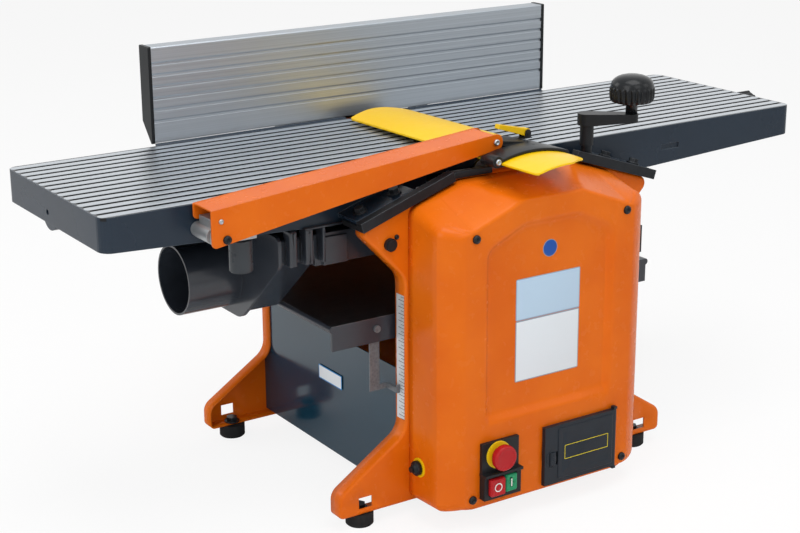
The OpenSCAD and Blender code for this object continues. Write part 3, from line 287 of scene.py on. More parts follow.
def pressed_frame(name, node, face_y, back):
    """Sheet bent round the outline, r (1 - cos t) in and r (1 - sin t) back, then a flat face with holes."""
    bend, flange = 0.0045, 0.025
    t = np.linspace(0, np.pi / 2, 6)
    step_in = np.concatenate([[0, 0], bend * (1 - np.cos(t))])
    step_back = np.concatenate([[flange, 0.012], bend * (1 - np.sin(t))])
    path = frame_loop[None] + inward(frame_loop)[None] * step_in[:, None, None]
    depth = np.broadcast_to((face_y + back * step_back)[:, None], path.shape[:2])
    rings = np.stack([path[..., 0], depth, path[..., 1]], -1)
    count = len(frame_loop)
    holes = np.concatenate([leg_hole + [s * hole_x, hole_z] for s in (-1, 1)])
    flat = np.concatenate([path[-1], holes])
    around = [list(range(count)), *[list(range(k + 3, k - 1, -1)) for k in (count, count + 4)]]
    made = delaunay_2d_cdt([tuple(p) for p in flat], [], around, 2, 1e-7)
    sheet = np.array([(p[0], face_y, p[1]) for p in made[0]])
    faces = [*bands(len(step_in), count), *[[i + len(step_in) * count for i in f] for f in made[2]]]
    if back < 0:
        faces = [f[::-1] for f in faces]
    points = np.concatenate([rings.reshape(-1, 3), sheet])
    piece = put(name, points, faces, "machine", "orange_paint", orange_coat)
    weld = piece.modifiers.new("weld", "WELD")
    weld.merge_threshold = 0.00002
    wall = piece.modifiers.new("wall", "SOLIDIFY")
    wall.thickness = 0.0025
    wall.offset = -1
    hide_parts(node)


pressed_frame("front_side_frame", "front_frame", front_face, 1)
pressed_frame("rear_side_frame", "rear_frame", rear_face, -1)

# Feet: moulded rubber pads under the legs, matt and a little dusty.
# A worn grain of about 2 mm breaks up the black; the belt and the outfeed roller are the same rubber.
rubber, tree, skin, where = finish("moulded_rubber", rough=0.8, shine=0.2)
dust = blend(tree, noise(tree, where, 40, 4), "#141516", "#2b2c2d")
wire(skin, dust, normal=bumped(tree, noise(tree, where, 480, 3), 0.25, 0.0004))
dress(rubber, "rubber_feet", "drive_belt", "outfeed_roller")

# Black steel: rails, bolts, tie bars, motor and the fence mount are blackened in a hot bath.
# The finish is thin, so edges show a little bare metal.
black_steel, tree, skin, where = finish("blackened_steel", metallic=0.7, rough=0.4)
cloud = noise(tree, where, 60, 5)
soft = rounded(tree, 0.001)
tone = blend(tree, worn(tree, soft, 0.99, 0.85, 0.5), blend(tree, cloud, "#17191c", "#292c30"), "#74787d")
wire(skin, tone, spread(tree, cloud, 0.3, 0.5), soft)
dress(black_steel, "tie_bars", "frame_bolts", "infeed_bolts", "table_rails", "fence_mount", "motor",
      "crank_screw")

# End panels: sheet steel in anthracite gloss enamel, folded in behind the frames' flanges.
# The enamel is smooth enough to mirror the room softly.
enamel, tree, skin, where = finish("anthracite_enamel", rough=0.22, shine=0.7)
tone = blend(tree, noise(tree, where, 6, 4), "#0f3042", "#153c4e")
gloss = spread(tree, noise(tree, where, 24, 3, 0.6), 0.08, 0.18)
wire(skin, tone, gloss, bumped(tree, noise(tree, where, 300, 2), 0.015, 0.0003, rounded(tree, 0.0012)))
dress(enamel, "left_end_panel", "right_end_panel")


# Plain stickers: vinyl with rounded corners, left bare, on the end panel and the drive cover.
# A thin printed border is all they carry.
def vinyl(name, colour, edge_colour, centre, across, width, height):
    """Vinyl whose border is the band within 1.5 mm of a rectangle's edge, by the largest of |u| and |v|."""
    border = 0.0015
    made, tree, skin, where = finish(name, rough=0.38, shine=0.15)
    axes = add(tree, "SeparateXYZ", {}, {0: where}).outputs
    sides = []
    for axis, middle, size in ((across, centre[0], width), ("Z", centre[1], height)):
        away = calc(tree, "ABSOLUTE", calc(tree, "SUBTRACT", axes[axis], middle))
        sides.append(calc(tree, "GREATER_THAN", away, size / 2 - border))
    fade = noise(tree, where, 25, 3)
    tone = blend(tree, spread(tree, fade, 0, 0.03), colour, "#ffffff")
    tone = blend(tree, calc(tree, "MAXIMUM", *sides), tone, edge_colour)
    wire(skin, tone, spread(tree, fade, 0.3, 0.48))
    return made


def card(cx, cz, w, h, r):
    """Corners of a w by h card about a centre, with radius r."""
    return [[cx + sx * w / 2, cz + sz * h / 2, r] for sx, sz in ((1, -1), (1, 1), (-1, 1), (-1, -1))]


def sticker(name, outline, depth, facing, material):
    """Plate of 0.3 mm: the outline at the back, near the front and, a little smaller, on the front's face."""
    thick = 0.0003
    o = np.asarray(outline)
    rings = [np.full(len(o), depth - thick * k) for k in (0, 0.6, 1)]
    flat = [o, o, o + inward(o) * thick]
    pts = [np.stack([f[:, 0], d, f[:, 1]] if facing == "y" else [d, -f[:, 0], f[:, 1]], 1)
           for f, d in zip(flat, rings)]
    m = len(o)
    faces = [*bands(3, m), list(range(2 * m, 3 * m))]
    put(name, np.concatenate(pts), faces, "machine", "black_plastic", material)


panel_x = -0.18201
card_vinyl = vinyl("white_vinyl_card", "#e9eef2", "#2f86c8", (-0.0065, 0.1445), "Y", 0.066, 0.022)
sticker("panel_card", loop(card(0.0065, 0.1445, 0.066, 0.022, 0.001), 4, 2), panel_x, "x", card_vinyl)


# Drive cover: a moulded shell over the belt, with soft edges, a sloping roof and a sunk arched panel.
# It is sprayed with the frames' coat and held by four screws.
def clear_of(points, outline):
    """Signed distance from a closed outline, positive inside: nearest segment, sign by crossings."""
    a, b = outline[None], np.roll(outline, -1, 0)[None]
    p = points[:, None]
    along = np.clip(((p - a) * (b - a)).sum(-1) / ((b - a) ** 2).sum(-1), 0, 1)[..., None]
    near = np.linalg.norm(p - a - along * (b - a), axis=-1).min(1)
    over = (a[..., 1] > p[..., 1]) != (b[..., 1] > p[..., 1])
    rise = np.where(b[..., 1] == a[..., 1], 1, b[..., 1] - a[..., 1])
    cut = a[..., 0] + (p[..., 1] - a[..., 1]) / rise * (b[..., 0] - a[..., 0])
    inside = (over & (p[..., 0] < cut)).sum(1) % 2 == 1
    return np.where(inside, near, -near)


def level(outline, y):
    """Outline of (x, z) points placed at a depth y."""
    return np.stack([outline[:, 0], np.full(len(outline), y), outline[:, 1]], 1)


def smooth_step(k):
    """Rise from 0 to 1 that starts and ends level: k^2 (3 - 2k)."""
    return k ** 2 * (3 - 2 * k)


def within(points, low, high):
    """Which points lie between two (x, z) corners."""
    flat = points[:, [0, 2]]
    return ((flat > low) & (flat < high)).all(1)


cover_back = loop(both_sides([
    [0.178, 0.026, 0.012], [0.178, 0.4535, 0.020], [0.135, 0.470, 0.030], [0.099, 0.481, 0.050],
]), 10, 40)
cover_front = loop(both_sides([
    [0.178, 0.029, 0.014], [0.178, 0.434, 0.014], [0.131, 0.434, 0.030], [0.052, 0.4645, 0.030],
]), 10, 40)
cover_face = loop(both_sides([
    [0.145, 0.034, 0.012], [0.145, 0.430, 0.009], [0.130, 0.430, 0.020], [0.0515, 0.4605, 0.028],
]), 10, 40)
sunk_panel = loop(both_sides([[0.112, 0.153, 0.010], [0.112, 0.404, 0.026], [0.046, 0.434, 0.060]]), 8, 6)
cover_y, root_y, opening_y = -0.303, -0.2133, -0.29
sunk, sunk_run = 0.008, 0.010
ring = len(cover_back)
# Share of the wide chamfer round the cover: 1 at its sides, 0 over the roof.
side = np.abs(inward(cover_back)[:, 0])
bevel = np.clip(np.maximum((side - 0.45) / 0.5, (np.abs(cover_back[:, 0]) - 0.130) / 0.034), 0, 1)
bevel = smooth_step(bevel)
corner = level(cover_front, cover_y)
root = level(cover_back, root_y)
landing = level(cover_face, cover_y)
setback = 0.004 + 0.019 * bevel
start = corner + (root - corner) * (setback / (root_y - cover_y))[:, None]
wall = root[None] + (start - root)[None] * np.linspace(0, 1, 6)[:, None, None]
t = np.linspace(0, np.pi / 2, 12)[1:, None, None]
power = 1 + 0.5 * bevel[None, :, None]
fillet = corner + (1 - np.cos(t) ** power) * (landing - corner) + (1 - np.sin(t) ** power) * (start - corner)
middle = np.array([0, cover_y, 0.24])
k = np.linspace(0, 0.985, 74)[1:, None, None]
face = middle + (landing[None] - middle) * (1 - k)
inset = np.clip(clear_of(face.reshape(-1, 3)[:, [0, 2]], sunk_panel) / sunk_run, 0, 1)
face.reshape(-1, 3)[:, 1] += sunk * (0.7 * inset + 0.3 * smooth_step(inset))
shell = np.concatenate([wall, fillet, face])
points = shell.reshape(-1, 3)
faces = bands(len(shell), ring)
heart = points[faces].mean(1)
pocket = within(heart, (-0.008, 0.041), (0.118, 0.122))
switch = within(heart, (-0.117, 0.047), (-0.061, 0.080))
faces = faces[~((pocket | switch) & (heart[:, 1] < opening_y))]
end = (len(shell) - 1) * ring
faces = [*faces, list(range(end, end + ring))]
cover = put("drive_cover_shell", points, faces, "machine", "orange_paint", orange_coat)
thick = cover.modifiers.new("wall", "SOLIDIFY")
thick.thickness = 0.003
thick.offset = -1
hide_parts("drive_cover")


def circle(cx, cz, r, count=40):
    """Outline of a circle by count points."""
    a = np.linspace(0, 2 * np.pi, count + 1)[:-1]
    return np.stack([cx + r * np.cos(a), cz + r * np.sin(a)], 1)


plate_y = -0.29502
blue_plate = vinyl("pale_blue_vinyl", "#b3cbdf", "#8fa9bf", (0.0005, 0.3205), "X", 0.112, 0.060)
sticker("cover_plate_top", loop(card(0.0005, 0.3205, 0.112, 0.060, 0.002), 4, 2), plate_y, "y", blue_plate)
white_plate = vinyl("white_vinyl", "#d9dfe4", "#8d99a5", (0.0005, 0.2452), "X", 0.112, 0.0894)
sticker("cover_plate", loop(card(0.0005, 0.2452, 0.112, 0.0894, 0.002), 4, 2), plate_y, "y", white_plate)
blue_disc = vinyl("blue_vinyl_disc", "#00499f", "#00499f", (0.002, 0.387), "X", 0.1, 0.1)
sticker("cover_disc_rim", circle(0.002, 0.387, 0.0125, 48), plate_y, "y", white_plate)
sticker("cover_disc", circle(0.002, 0.387, 0.0115, 48), plate_y - 0.00026, "y", blue_disc)


# Cover screws: black button heads with a hexagon socket, driven into the frame.
# Each head is a dome whose rings turn from a circle to the socket's hexagon.
def button_head(cx, cy, cz, radius):
    """Rings (radius, height, hexagon share): r = mix(circle, hexagon); the last ring is closed by a face."""
    count = 48
    a = np.linspace(0, 2 * np.pi, count + 1)[:-1]
    hexagon = 1 / np.cos((a + np.pi / 6) % (np.pi / 3) - np.pi / 6)
    table = np.array([
        [1.0, 0.0, 0], [1.0, 0.25, 0], [0.95, 0.42, 0], [0.82, 0.56, 0], [0.66, 0.63, 0.2], [0.52, 0.65, 1],
        [0.49, 0.62, 1], [0.47, 0.2, 1], [0.2, 0.18, 1],
    ])
    r = radius * table[:, :1] * (1 + table[:, 2:] * (hexagon[None] - 1))
    y = cy - radius * table[:, 1:2] + 0 * r
    pts = np.stack([cx + r * np.cos(a), y, cz + r * np.sin(a)], -1)
    last = (len(table) - 1) * count
    return pts.reshape(-1, 3), [*bands(len(table), count), list(range(last, last + count))]


def joined(parts):
    """Several (points, faces) as one: each part's faces are shifted by the points before it."""
    start = np.cumsum([0] + [len(points) for points, _ in parts])
    faces = [[int(i) + int(k) for i in f] for k, (_, some) in zip(start, parts) for f in some]
    return np.concatenate([points for points, _ in parts]), faces


screw_places = ((-0.129, 0.4225), (0.132, 0.4225), (-0.132, 0.045), (0.1375, 0.045))
heads = [button_head(x, cover_y, z, 0.0061) for x, z in screw_places]
screws = put("cover_button_screws", *joined(heads), "machine", "black_steel", black_steel)
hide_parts("cover_screws")


# Painted shade: a black bar on the front frame's crown, put where only shade lies between the rail's end and
# the guard holder.
# It has the blackened steel's finish; two small pan-head screws sit on the frame below.
def prism(outline, near, far, soft):
    """Bar along Y: outline inset by soft (1 - cos t) where y is soft (1 - sin t) from either end."""
    t = np.linspace(0, np.pi / 2, 5)
    step_in = np.concatenate([soft * (1 - np.sin(t)), soft * (1 - np.cos(t))])
    y = np.concatenate([near + soft * (1 - np.cos(t)), far - soft * (1 - np.sin(t))])
    flat = outline[None] + inward(outline)[None] * step_in[:, None, None]
    rings = np.stack([flat[..., 0], np.broadcast_to(y[:, None], flat.shape[:2]), flat[..., 1]], -1)
    m = len(outline)
    last = (len(y) - 1) * m
    ends = [list(range(m)), list(range(last + m - 1, last - 1, -1))]
    return rings.reshape(-1, 3), [*bands(len(y), m)[:, ::-1], *ends]


crown_shade_bar = loop([
    [-0.107, 0.4832, 0.001], [-0.040, 0.4832, 0.001], [-0.040, 0.4922, 0.002], [-0.104, 0.4922, 0.002],
], 4, 2)
put("crown_shade_bar", *prism(crown_shade_bar, -0.2175, -0.206, 0.0008), "machine", "black_steel", black_steel)
small = [button_head(x, front_face, 0.4155, 0.0036) for x in (-0.1965, 0.1965)]
put("frame_pan_screws", *joined(small), "machine", "black_steel", black_steel)

# Planing tables: alloy castings in dark blue-grey enamel, glossy and chipped a little at the edges.
# Only the ribs are bare: they are milled after painting, and the grooves keep the enamel, with painted shade
# that makes them near black.
table_z, table_half = 0.492, 0.16
groove_z, groove_span = 0.4875, (("X", 0.5955), ("Y", 0.1585))
casting, tree, skin, where = finish("blue_grey_enamel", rough=0.26, shine=0.3)
cloud = noise(tree, where, 7, 4)
soft = rounded(tree, 0.0016)
axes = add(tree, "SeparateXYZ", {}, {0: where}).outputs
groove_painted_shade = calc(tree, "GREATER_THAN", axes["Z"], groove_z)
for axis, edge in groove_span:
    groove_painted_shade = calc(tree, "MULTIPLY", groove_painted_shade, calc(tree, "LESS_THAN", calc(tree, "ABSOLUTE", axes[axis]), edge))
tone = blend(tree, worn(tree, soft, 0.99, 0.84, 0.35), blend(tree, cloud, "#16222f", "#1e2c3a"), "#77828c")
# Painted shade: the grooves between the ribs are coloured near black for the shade that falls in them, darker
# than their enamel.
tone = blend(tree, groove_painted_shade, tone, "#07090c")
peel = bumped(tree, noise(tree, where, 260, 2), 0.05, 0.0003, soft)
wire(skin, tone, spread(tree, cloud, 0.2, 0.34), peel)
dress(casting, "outfeed_table", "infeed_table")


def lined(tree, where, scale, detail):
    """Noise drawn out into lines by its own scale along each axis."""
    return noise(tree, add(tree, "Mapping", {"Scale": scale}, {"Vector": where}).outputs[0], 1, detail)


milled, tree, skin, where = finish("milled_alloy", metallic=0.9, rough=0.34)
lines = lined(tree, where, (8, 700, 1), 4)
tone = blend(tree, lines, "#a9b0b7", "#d3d8dd")
wire(skin, tone, spread(tree, lines, 0.26, 0.42), bumped(tree, lines, 0.1, 0.0002))


def milled_ribs(name, body, x0, x1):
    """15 strips: width w sqrt(1 - (1 - d/r)^2) at a distance d < r from either end, sides rounded."""
    ribs, width, end_r, rise = 15, 0.0134, 0.004, 0.0004
    pitch = 2 * table_half / ribs
    run = np.linspace(0, 1, 13) ** 1.5 * end_r
    x = np.concatenate([x0 + run, np.linspace(x0 + end_r, x1 - end_r, 14)[1:-1], x1 - run[::-1]])
    d = np.clip(np.minimum(x - x0, x1 - x) / end_r, 0.02, 1)
    w = width * np.sqrt(1 - (1 - d) ** 2)
    v = np.linspace(-1, 1, 13)
    y = pitch * (np.arange(ribs) + 0.5) - table_half
    lift = rise * np.sqrt(np.clip(1 - np.abs(v) ** 8, 0, 1)) * np.minimum(1, 2 * d)[:, None]
    grid = np.stack(np.broadcast_arrays(
        x[None, :, None], y[:, None, None] + w[None, :, None] * v / 2, table_z + lift[None]), -1)
    m, n = len(x), len(v)
    i = (np.arange(ribs) * m * n)[:, None, None] + (np.arange(m - 1) * n)[None, :, None] + np.arange(n - 1)
    faces = np.stack([i, i + n, i + n + 1, i + 1], -1).reshape(-1, 4)
    put(name, grid.reshape(-1, 3), faces, body, "table_casting", milled)


# A narrow ledge along each table's back edge closes the gap in front of the fence.
ledge = np.array([
    [0, -0.0045], [0.0095, -0.0045], [0.0116, -0.0030], [0.0117, 0.0011],
    [0.0085, 0.0011], [0.0060, -0.0008], [0, -0.0008],
]) + [0.1598, table_z]
steps, count = 30, len(ledge)
last = (steps - 1) * count
faces = [*bands(steps, count), list(range(count))[::-1], list(range(last, last + count))]
for name, body, x0, x1 in (
    ("outfeed_ledge", "machine", -0.366, -0.042),
    ("infeed_ledge", "infeed", 0.042, 0.346),
):
    run = np.stack(np.broadcast_arrays(np.linspace(x0, x1, steps)[:, None], ledge[:, 0], ledge[:, 1]), -1)
    put(name, run.reshape(-1, 3), faces, body, "table_casting", casting, False)
milled_ribs("outfeed_ribs", "machine", -0.5965, -0.041)
milled_ribs("infeed_ribs", "infeed", 0.041, 0.5965)


# Small black mouldings: nylon and ABS with a fine spark-eroded grain, drawn at 1.2 mm so that it shows.
# Edges are polished by handling.
def moulding(name, dark, light, low, high, grain_mm, relief=0.08, shine=0.22):
    """Moulded plastic: two tones by a cloud, roughness between low and high, bump of grain_mm."""
    made, tree, skin, where = finish(name, rough=low, shine=shine)
    cloud = noise(tree, where, 30, 4)
    grain = bumped(tree, noise(tree, where, 1000 / grain_mm, 2), relief, 0.0003, rounded(tree, 0.0009))
    wire(skin, blend(tree, cloud, dark, light), spread(tree, cloud, low, high), grain)
    return made


black_moulding = moulding("black_moulding", "#121416", "#1c1f22", 0.3, 0.46, 1.2)
dress(black_moulding, "depth_knob", "fence_lock_knob", "fence_caps", "hood_knob", "reset_button",
      "power_inlet", "crank_arm")
dress(moulding("grey_moulding", "#2f3337", "#3d4145", 0.22, 0.34, 1.2, 0.03), "guard_height_knob")
blue_black = moulding("blue_black_moulding", "#191e25", "#232a32", 0.26, 0.4, 1.2, 0.04)
dress(blue_black, "toolbox", "toolbox_lid", "toolbox_latch")

# Turned and ground steel: cutterblock, knives, rollers, screws and the fence carriage.
# Grinding leaves a fine grey streak, drawn here at about 1 mm.
steel, tree, skin, where = finish("ground_steel", metallic=1.0, rough=0.3)
lines = lined(tree, where, (900, 60, 900), 3)
wire(skin, blend(tree, lines, "#8a8f94", "#bfc4c8"), spread(tree, lines, 0.22, 0.42), rounded(tree, 0.0008))
dress(steel, "cutterblock", "planer_knives", "cutter_pulley", "infeed_roller", "kickback_pawls",
      "motor_shaft", "lift_screw_front", "lift_screw_rear_left", "lift_screw_rear_right", "lift_chain",
      "fence_carriage")

# Alloy castings: bearing housings, gearbox and the guard bracket, sand-blasted to a matt grey.
# The blasting leaves pits of about 1 mm.
cast_alloy, tree, skin, where = finish("blasted_alloy", metallic=0.8, rough=0.5)
pits = bumped(tree, noise(tree, where, 800, 3), 0.25, 0.0004, rounded(tree, 0.0015))
wire(skin, blend(tree, noise(tree, where, 45, 3), "#8f9294", "#b4b7b9"), normal=pits)
dress(cast_alloy, "guard_bracket", "bearing_blocks", "feed_gearbox")

# Bed pointer: a zinc-plated strip riveted behind the bed's flange, hooked over the scale.
# Plating is dull, with a faint spangle of about 4 mm.
zinc, tree, skin, where = finish("zinc_plated_steel", metallic=0.35, rough=0.4)
spangle = add(tree, "TexVoronoi", {"Scale": 250}, {"Vector": where}).outputs["Distance"]
tone = blend(tree, spangle, "#5a5e62", "#74787c")
wire(skin, tone, spread(tree, spangle, 0.3, 0.46), rounded(tree, 0.0005))
dress(zinc, "bed_pointer")

# Thickness table: folded plate in the same enamel, its top ground and waxed.
# The top is bare where boards slide; flanges and lugs keep the paint.
bare_above = 0.2936
bed_finish, tree, skin, where = finish("ground_bed_plate", rough=0.3)
axes = add(tree, "SeparateXYZ", {}, {0: where}).outputs
high = calc(tree, "GREATER_THAN", axes["Z"], bare_above)
lines = lined(tree, where, (20, 500, 20), 3)
paint = blend(tree, noise(tree, where, 14, 4), "#23262d", "#30343d")
tone = blend(tree, high, paint, blend(tree, lines, "#5b5f64", "#8f9499"))
wire(skin, tone, spread(tree, lines, 0.24, 0.4), rounded(tree, 0.0012), high)
dress(bed_finish, "thickness_table")

# Depth scale: a printed steel strip on the waist of the front frame, with a line every 5 mm.
# Every second line is longer; figures are left off.
scale_strip, tree, skin, where = finish("printed_steel_scale", metallic=0.3, rough=0.35)
axes = add(tree, "SeparateXYZ", {}, {0: where}).outputs
marks = []
for pitch, thick, reach in ((0.005, 0.0008, -0.203), (0.010, 0.0009, -0.197)):
    line = calc(tree, "LESS_THAN", calc(tree, "MODULO", axes["Z"], pitch), thick)
    marks.append(calc(tree, "MULTIPLY", line, calc(tree, "LESS_THAN", axes["Y"], reach)))
plate = blend(tree, noise(tree, where, 120, 3), "#c9ced2", "#e6e9eb")
wire(skin, blend(tree, calc(tree, "MAXIMUM", *marks), plate, "#1d1f22"))
dress(scale_strip, "depth_scale")

# Fence: a drawn aluminium extrusion, left natural.
# The die leaves long fine lines; they run the fence's whole length.
drawn_alloy, tree, skin, where = finish("drawn_aluminium", metallic=1.0, rough=0.36)
lines = lined(tree, where, (1.5, 600, 600), 4)
drawn = bumped(tree, lines, 0.08, 0.0002, rounded(tree, 0.0006))
wire(skin, blend(tree, lines, "#959ca3", "#b7bdc3"), spread(tree, lines, 0.3, 0.48), drawn)
dress(drawn_alloy, "fence_plate")

# Guard: the arm has the frames' coat; blade, clamp and the reset collar are bright yellow enamel.
# Boards and hands leave faint scuffs on the yellow.
dress(orange_coat, "guard_arm")
yellow, tree, skin, where = finish("yellow_enamel", rough=0.32, shine=0.2)
scuff = noise(tree, where, 140, 5, 0.8)
tone = blend(tree, noise(tree, where, 12, 4), "#efbb05", "#f6cd10")
wire(skin, tone, spread(tree, scuff, 0.22, 0.46), bumped(tree, scuff, 0.05, 0.0003, rounded(tree, 0.0012)))
dress(yellow, "guard_blade", "guard_clamp", "reset_bezel")


# Guard holder: a moulded saddle that hooks round both edges of the blade, with a knuckle at its left end.
# Its tongue reaches into the arm's end and its two ears carry the clamp lever.
def on_blade(x, lift):
    """Points over the blade's curve: z = axis + sqrt((radius + lift)^2 - x^2)."""
    axis, radius = 0.31644, 0.19336
    return np.stack([x, axis + np.sqrt((radius + lift) ** 2 - x ** 2)], 1)


def leant(points, faces):
    """The points lifted by the blade's lean: z - y sin(lean), so that z rises as y falls."""
    lean = np.radians(1.1)
    points[:, 2] -= points[:, 1] * np.sin(lean)
    return points, faces


hook = np.array([
    [0.0556, 0.5018], [0.0556, 0.4986], [0.050, 0.4986], [0.050, 0.4954],
    [0.0602, 0.4954], [0.0618, 0.4968], [0.0622, 0.5010], [0.0612, 0.5034],
])
across = np.linspace(0.0595, -0.0595, 48)
under = np.linspace(-0.0551, 0.0551, 48)
saddle = np.concatenate([on_blade(across, 0.0045), hook[::-1] * [-1, 1], on_blade(under, 0), hook])
plate = np.linspace(0.061, -0.019, 40)
plate = np.concatenate([on_blade(plate, 0.0035), on_blade(plate[::-1], 0.0003)])
lug = np.array([[-0.041, 0.515], [0.022, 0.515], [0.022, 0.518], [-0.026, 0.525], [-0.041, 0.525]])
ear = loop([
    [0.039, 0.515, 0.0005], [0.049, 0.515, 0.0005], [0.049, 0.528, 0.0048], [0.039, 0.528, 0.0048],
], 6, 3)
base = loop(card(0.0355, 0.5157, 0.031, 0.0014, 0.0004), 3, 3)
tongue = loop(card(0.0015, 0.5165, 0.041, 0.003, 0.0008), 3, 3)
knuckle_x, knuckle_y, knuckle_z = -0.0605, -0.2577, 0.5085
tip_x, tip_z = -0.034, 0.525
holder = put("guard_saddle", *joined([
    leant(*prism(saddle, -0.258, -0.217, 0.0012)),
    leant(*prism(plate, -0.2176, -0.172, 0.0006)),
    prism(circle(knuckle_x, knuckle_z, 0.0085), knuckle_y, -0.236, 0.0014),
    prism(lug, -0.2125, -0.1675, 0.0004),
    prism(circle(tip_x, tip_z, 0.008), -0.2124, -0.1676, 0.0005),
    prism(tongue, -0.231, -0.2115, 0.0004),
    prism(base, -0.188, -0.172, 0.0003),
    prism(ear, -0.188, -0.186, 0.0004),
    prism(ear, -0.174, -0.172, 0.0004),
    prism(circle(0.044, 0.523, 0.0025), -0.1882, -0.1718, 0.0004),
]), "holder", "black_plastic", black_moulding)
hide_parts("guard_holder")
put("saddle_screw", *button_head(knuckle_x, knuckle_y, knuckle_z, 0.0046), "holder", "bright_steel", steel)

# Arm screws: bright button heads at the arm's tip and over its bracket; the arm turns on a black pivot screw.
# The pivot screw's shank runs through the arm's front wall into the bracket.
pivot_x, pivot_z = -0.453, 0.455
heads = [button_head(tip_x, -0.2175, tip_z, 0.0046), button_head(-0.4605, -0.216, 0.480, 0.0034)]
put("arm_screws", *joined(heads), "arm", "bright_steel", steel)
pivot = put("arm_pivot_screw", *joined([
    button_head(pivot_x, -0.2163, pivot_z, 0.0058),
    prism(circle(pivot_x, pivot_z, 0.0048), -0.2166, -0.1765, 0.0004),
]), "machine", "black_steel", black_steel)
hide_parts("arm_pivot_bolt")


# Extraction hood: injection-moulded polypropylene, dark grey and glossy, with stiffening fins under a lip.
# The grain is drawn at 2 mm and is very shallow.
def pillow(low, high, back, front, corner):
    """Rounded block: rings of (inset mm, share of depth) round a card, dished a little towards the middle."""
    rings = np.array([[0, 0], [0, 0.8], [0.4, 0.93], [1.4, 1], [3.5, 1], [5.5, 0.975], [7.5, 0.96]])
    size = np.subtract(high, low)
    # Rings that would cross the block's middle are left out.
    rings = rings[rings[:, 0] < 450 * size.min()]
    o = loop(card(*np.add(low, high) / 2, *size, corner), 6, 6)
    flat = o[None] + inward(o)[None] * np.minimum(rings[:, :1], 1000 * corner)[:, None] / 1000
    shrink = np.clip(rings[:, 0] / 1000 - corner, 0, 1)[:, None, None]
    flat = flat + shrink * np.sign(np.add(low, high) / 2 - flat)
    y = back + (front - back) * rings[:, 1:] + 0 * flat[..., 0]
    m = len(o)
    end = (len(rings) - 1) * m
    pts = np.stack([flat[..., 0], y, flat[..., 1]], -1).reshape(-1, 3)
    return pts, [*bands(len(rings), m), list(range(end, end + m))]


polypropylene = moulding("grey_polypropylene", "#262a31", "#343941", 0.16, 0.28, 2, 0.012, 0.5)
dress(polypropylene, "dust_hood")
hood_y = -0.149
fins = [pillow((x0, 0.383), (x1, 0.4325), hood_y, -0.167, 0.0014)
        for x0, x1 in ((-0.3345, -0.3235), (-0.311, -0.2985), (-0.2845, -0.2795))]
lip = pillow((-0.3115, 0.4318), (-0.243, 0.4343), hood_y, -0.1685, 0.001)
put("hood_fins", *joined([*fins, lip]), "machine", "black_plastic", polypropylene)

# Switch: black housing with a yellow collar under the red stop head, and two push buttons.
# The collar is picked out of the housing by its distance from the stop's axis.
stop_axis = (-0.093, 0, 0.107)
collar_y, collar_r = -0.30905, 0.0204
housing, tree, skin, where = finish("switch_moulding", rough=0.4, shine=0.22)
axes = add(tree, "SeparateXYZ", {}, {0: where}).outputs
front = calc(tree, "LESS_THAN", axes["Y"], collar_y)
flat = add(tree, "CombineXYZ", {}, {0: axes["X"], 2: axes["Z"]})
away = add(tree, "VectorMath", {"operation": "DISTANCE", 1: stop_axis}, {0: flat.outputs[0]})
collar = calc(tree, "MULTIPLY", front, calc(tree, "LESS_THAN", away.outputs["Value"], collar_r))
grain = noise(tree, where, 700, 2)
tone = blend(tree, collar, blend(tree, grain, "#16181a", "#222427"), "#e9c313")
wire(skin, tone, normal=bumped(tree, grain, 0.08, 0.0003, rounded(tree, 0.001)))
dress(housing, "switch_housing")
red = moulding("red_moulding", "#a01319", "#b41c22", 0.2, 0.34, 1.5)
green = moulding("green_moulding", "#1c8257", "#2a9a6a", 0.22, 0.36, 1.5)
pale_mark = moulding("pale_mark", "#d9d9d6", "#f0efec", 0.35, 0.5, 1.5)


def spin(radius, along, axis, at, around=96, flute=1):
    """Surface of revolution: rings of radii (mm) at places (mm) along an axis through a point, closed."""
    a = np.linspace(0, 2 * np.pi, around + 1)[:-1]
    r = np.asarray(radius, float)[:, None] / 1000 * flute
    c, s = r * np.cos(a), r * np.sin(a)
    run = np.asarray(along, float)[:, None] / 1000 + 0 * c
    points = np.stack({"x": (run, c, s), "y": (s, run, c), "z": (c, s, run)}[axis], -1).reshape(-1, 3) + at
    last = (len(r) - 1) * around
    return points, [*bands(len(r), around), list(range(around))[::-1], list(range(last, last + around))]


stop_r = [0.5, 12.4, 13.2, 13.8, 15.6, 16.9, 17.8, 18.4, 18.6, 18.5, 18.1, 17.2, 15.0, 12.5, 11.8, 11.6]
stop_y = [-328.8, -328.8, -328.9, -329.5, -329.5, -329.0, -328.0, -326.2, -323.4, -320.8, -318.9, -317.8,
          -317.2, -316.9, -316.2, -300]
stop_head = put("stop_head", *spin(stop_r, stop_y, "y", stop_axis), "emergency_stop", "red_plastic", red)
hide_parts("emergency_stop")
nut_r = np.array([4.2, 4.9, 6.0, 6.8, 7.2, 7.6, 9.6, 10.4, 10.7, 10.7, 10.2])
nut_x = [-190.6, -190.8, -190.2, -188.8, -187.2, -186.9, -186.9, -186.6, -185.8, -180.6, -180.15]
a = np.linspace(0, 2 * np.pi, 97)[:-1]
scallop = 1 - 0.06 * (nut_r > 10)[:, None] * (0.5 + 0.5 * np.cos(16 * a))
reset_nut = spin(nut_r, nut_x, "x", (0, -0.240, 0.083), flute=scallop)
put("reset_nut", *reset_nut, "machine", "black_plastic", black_moulding)


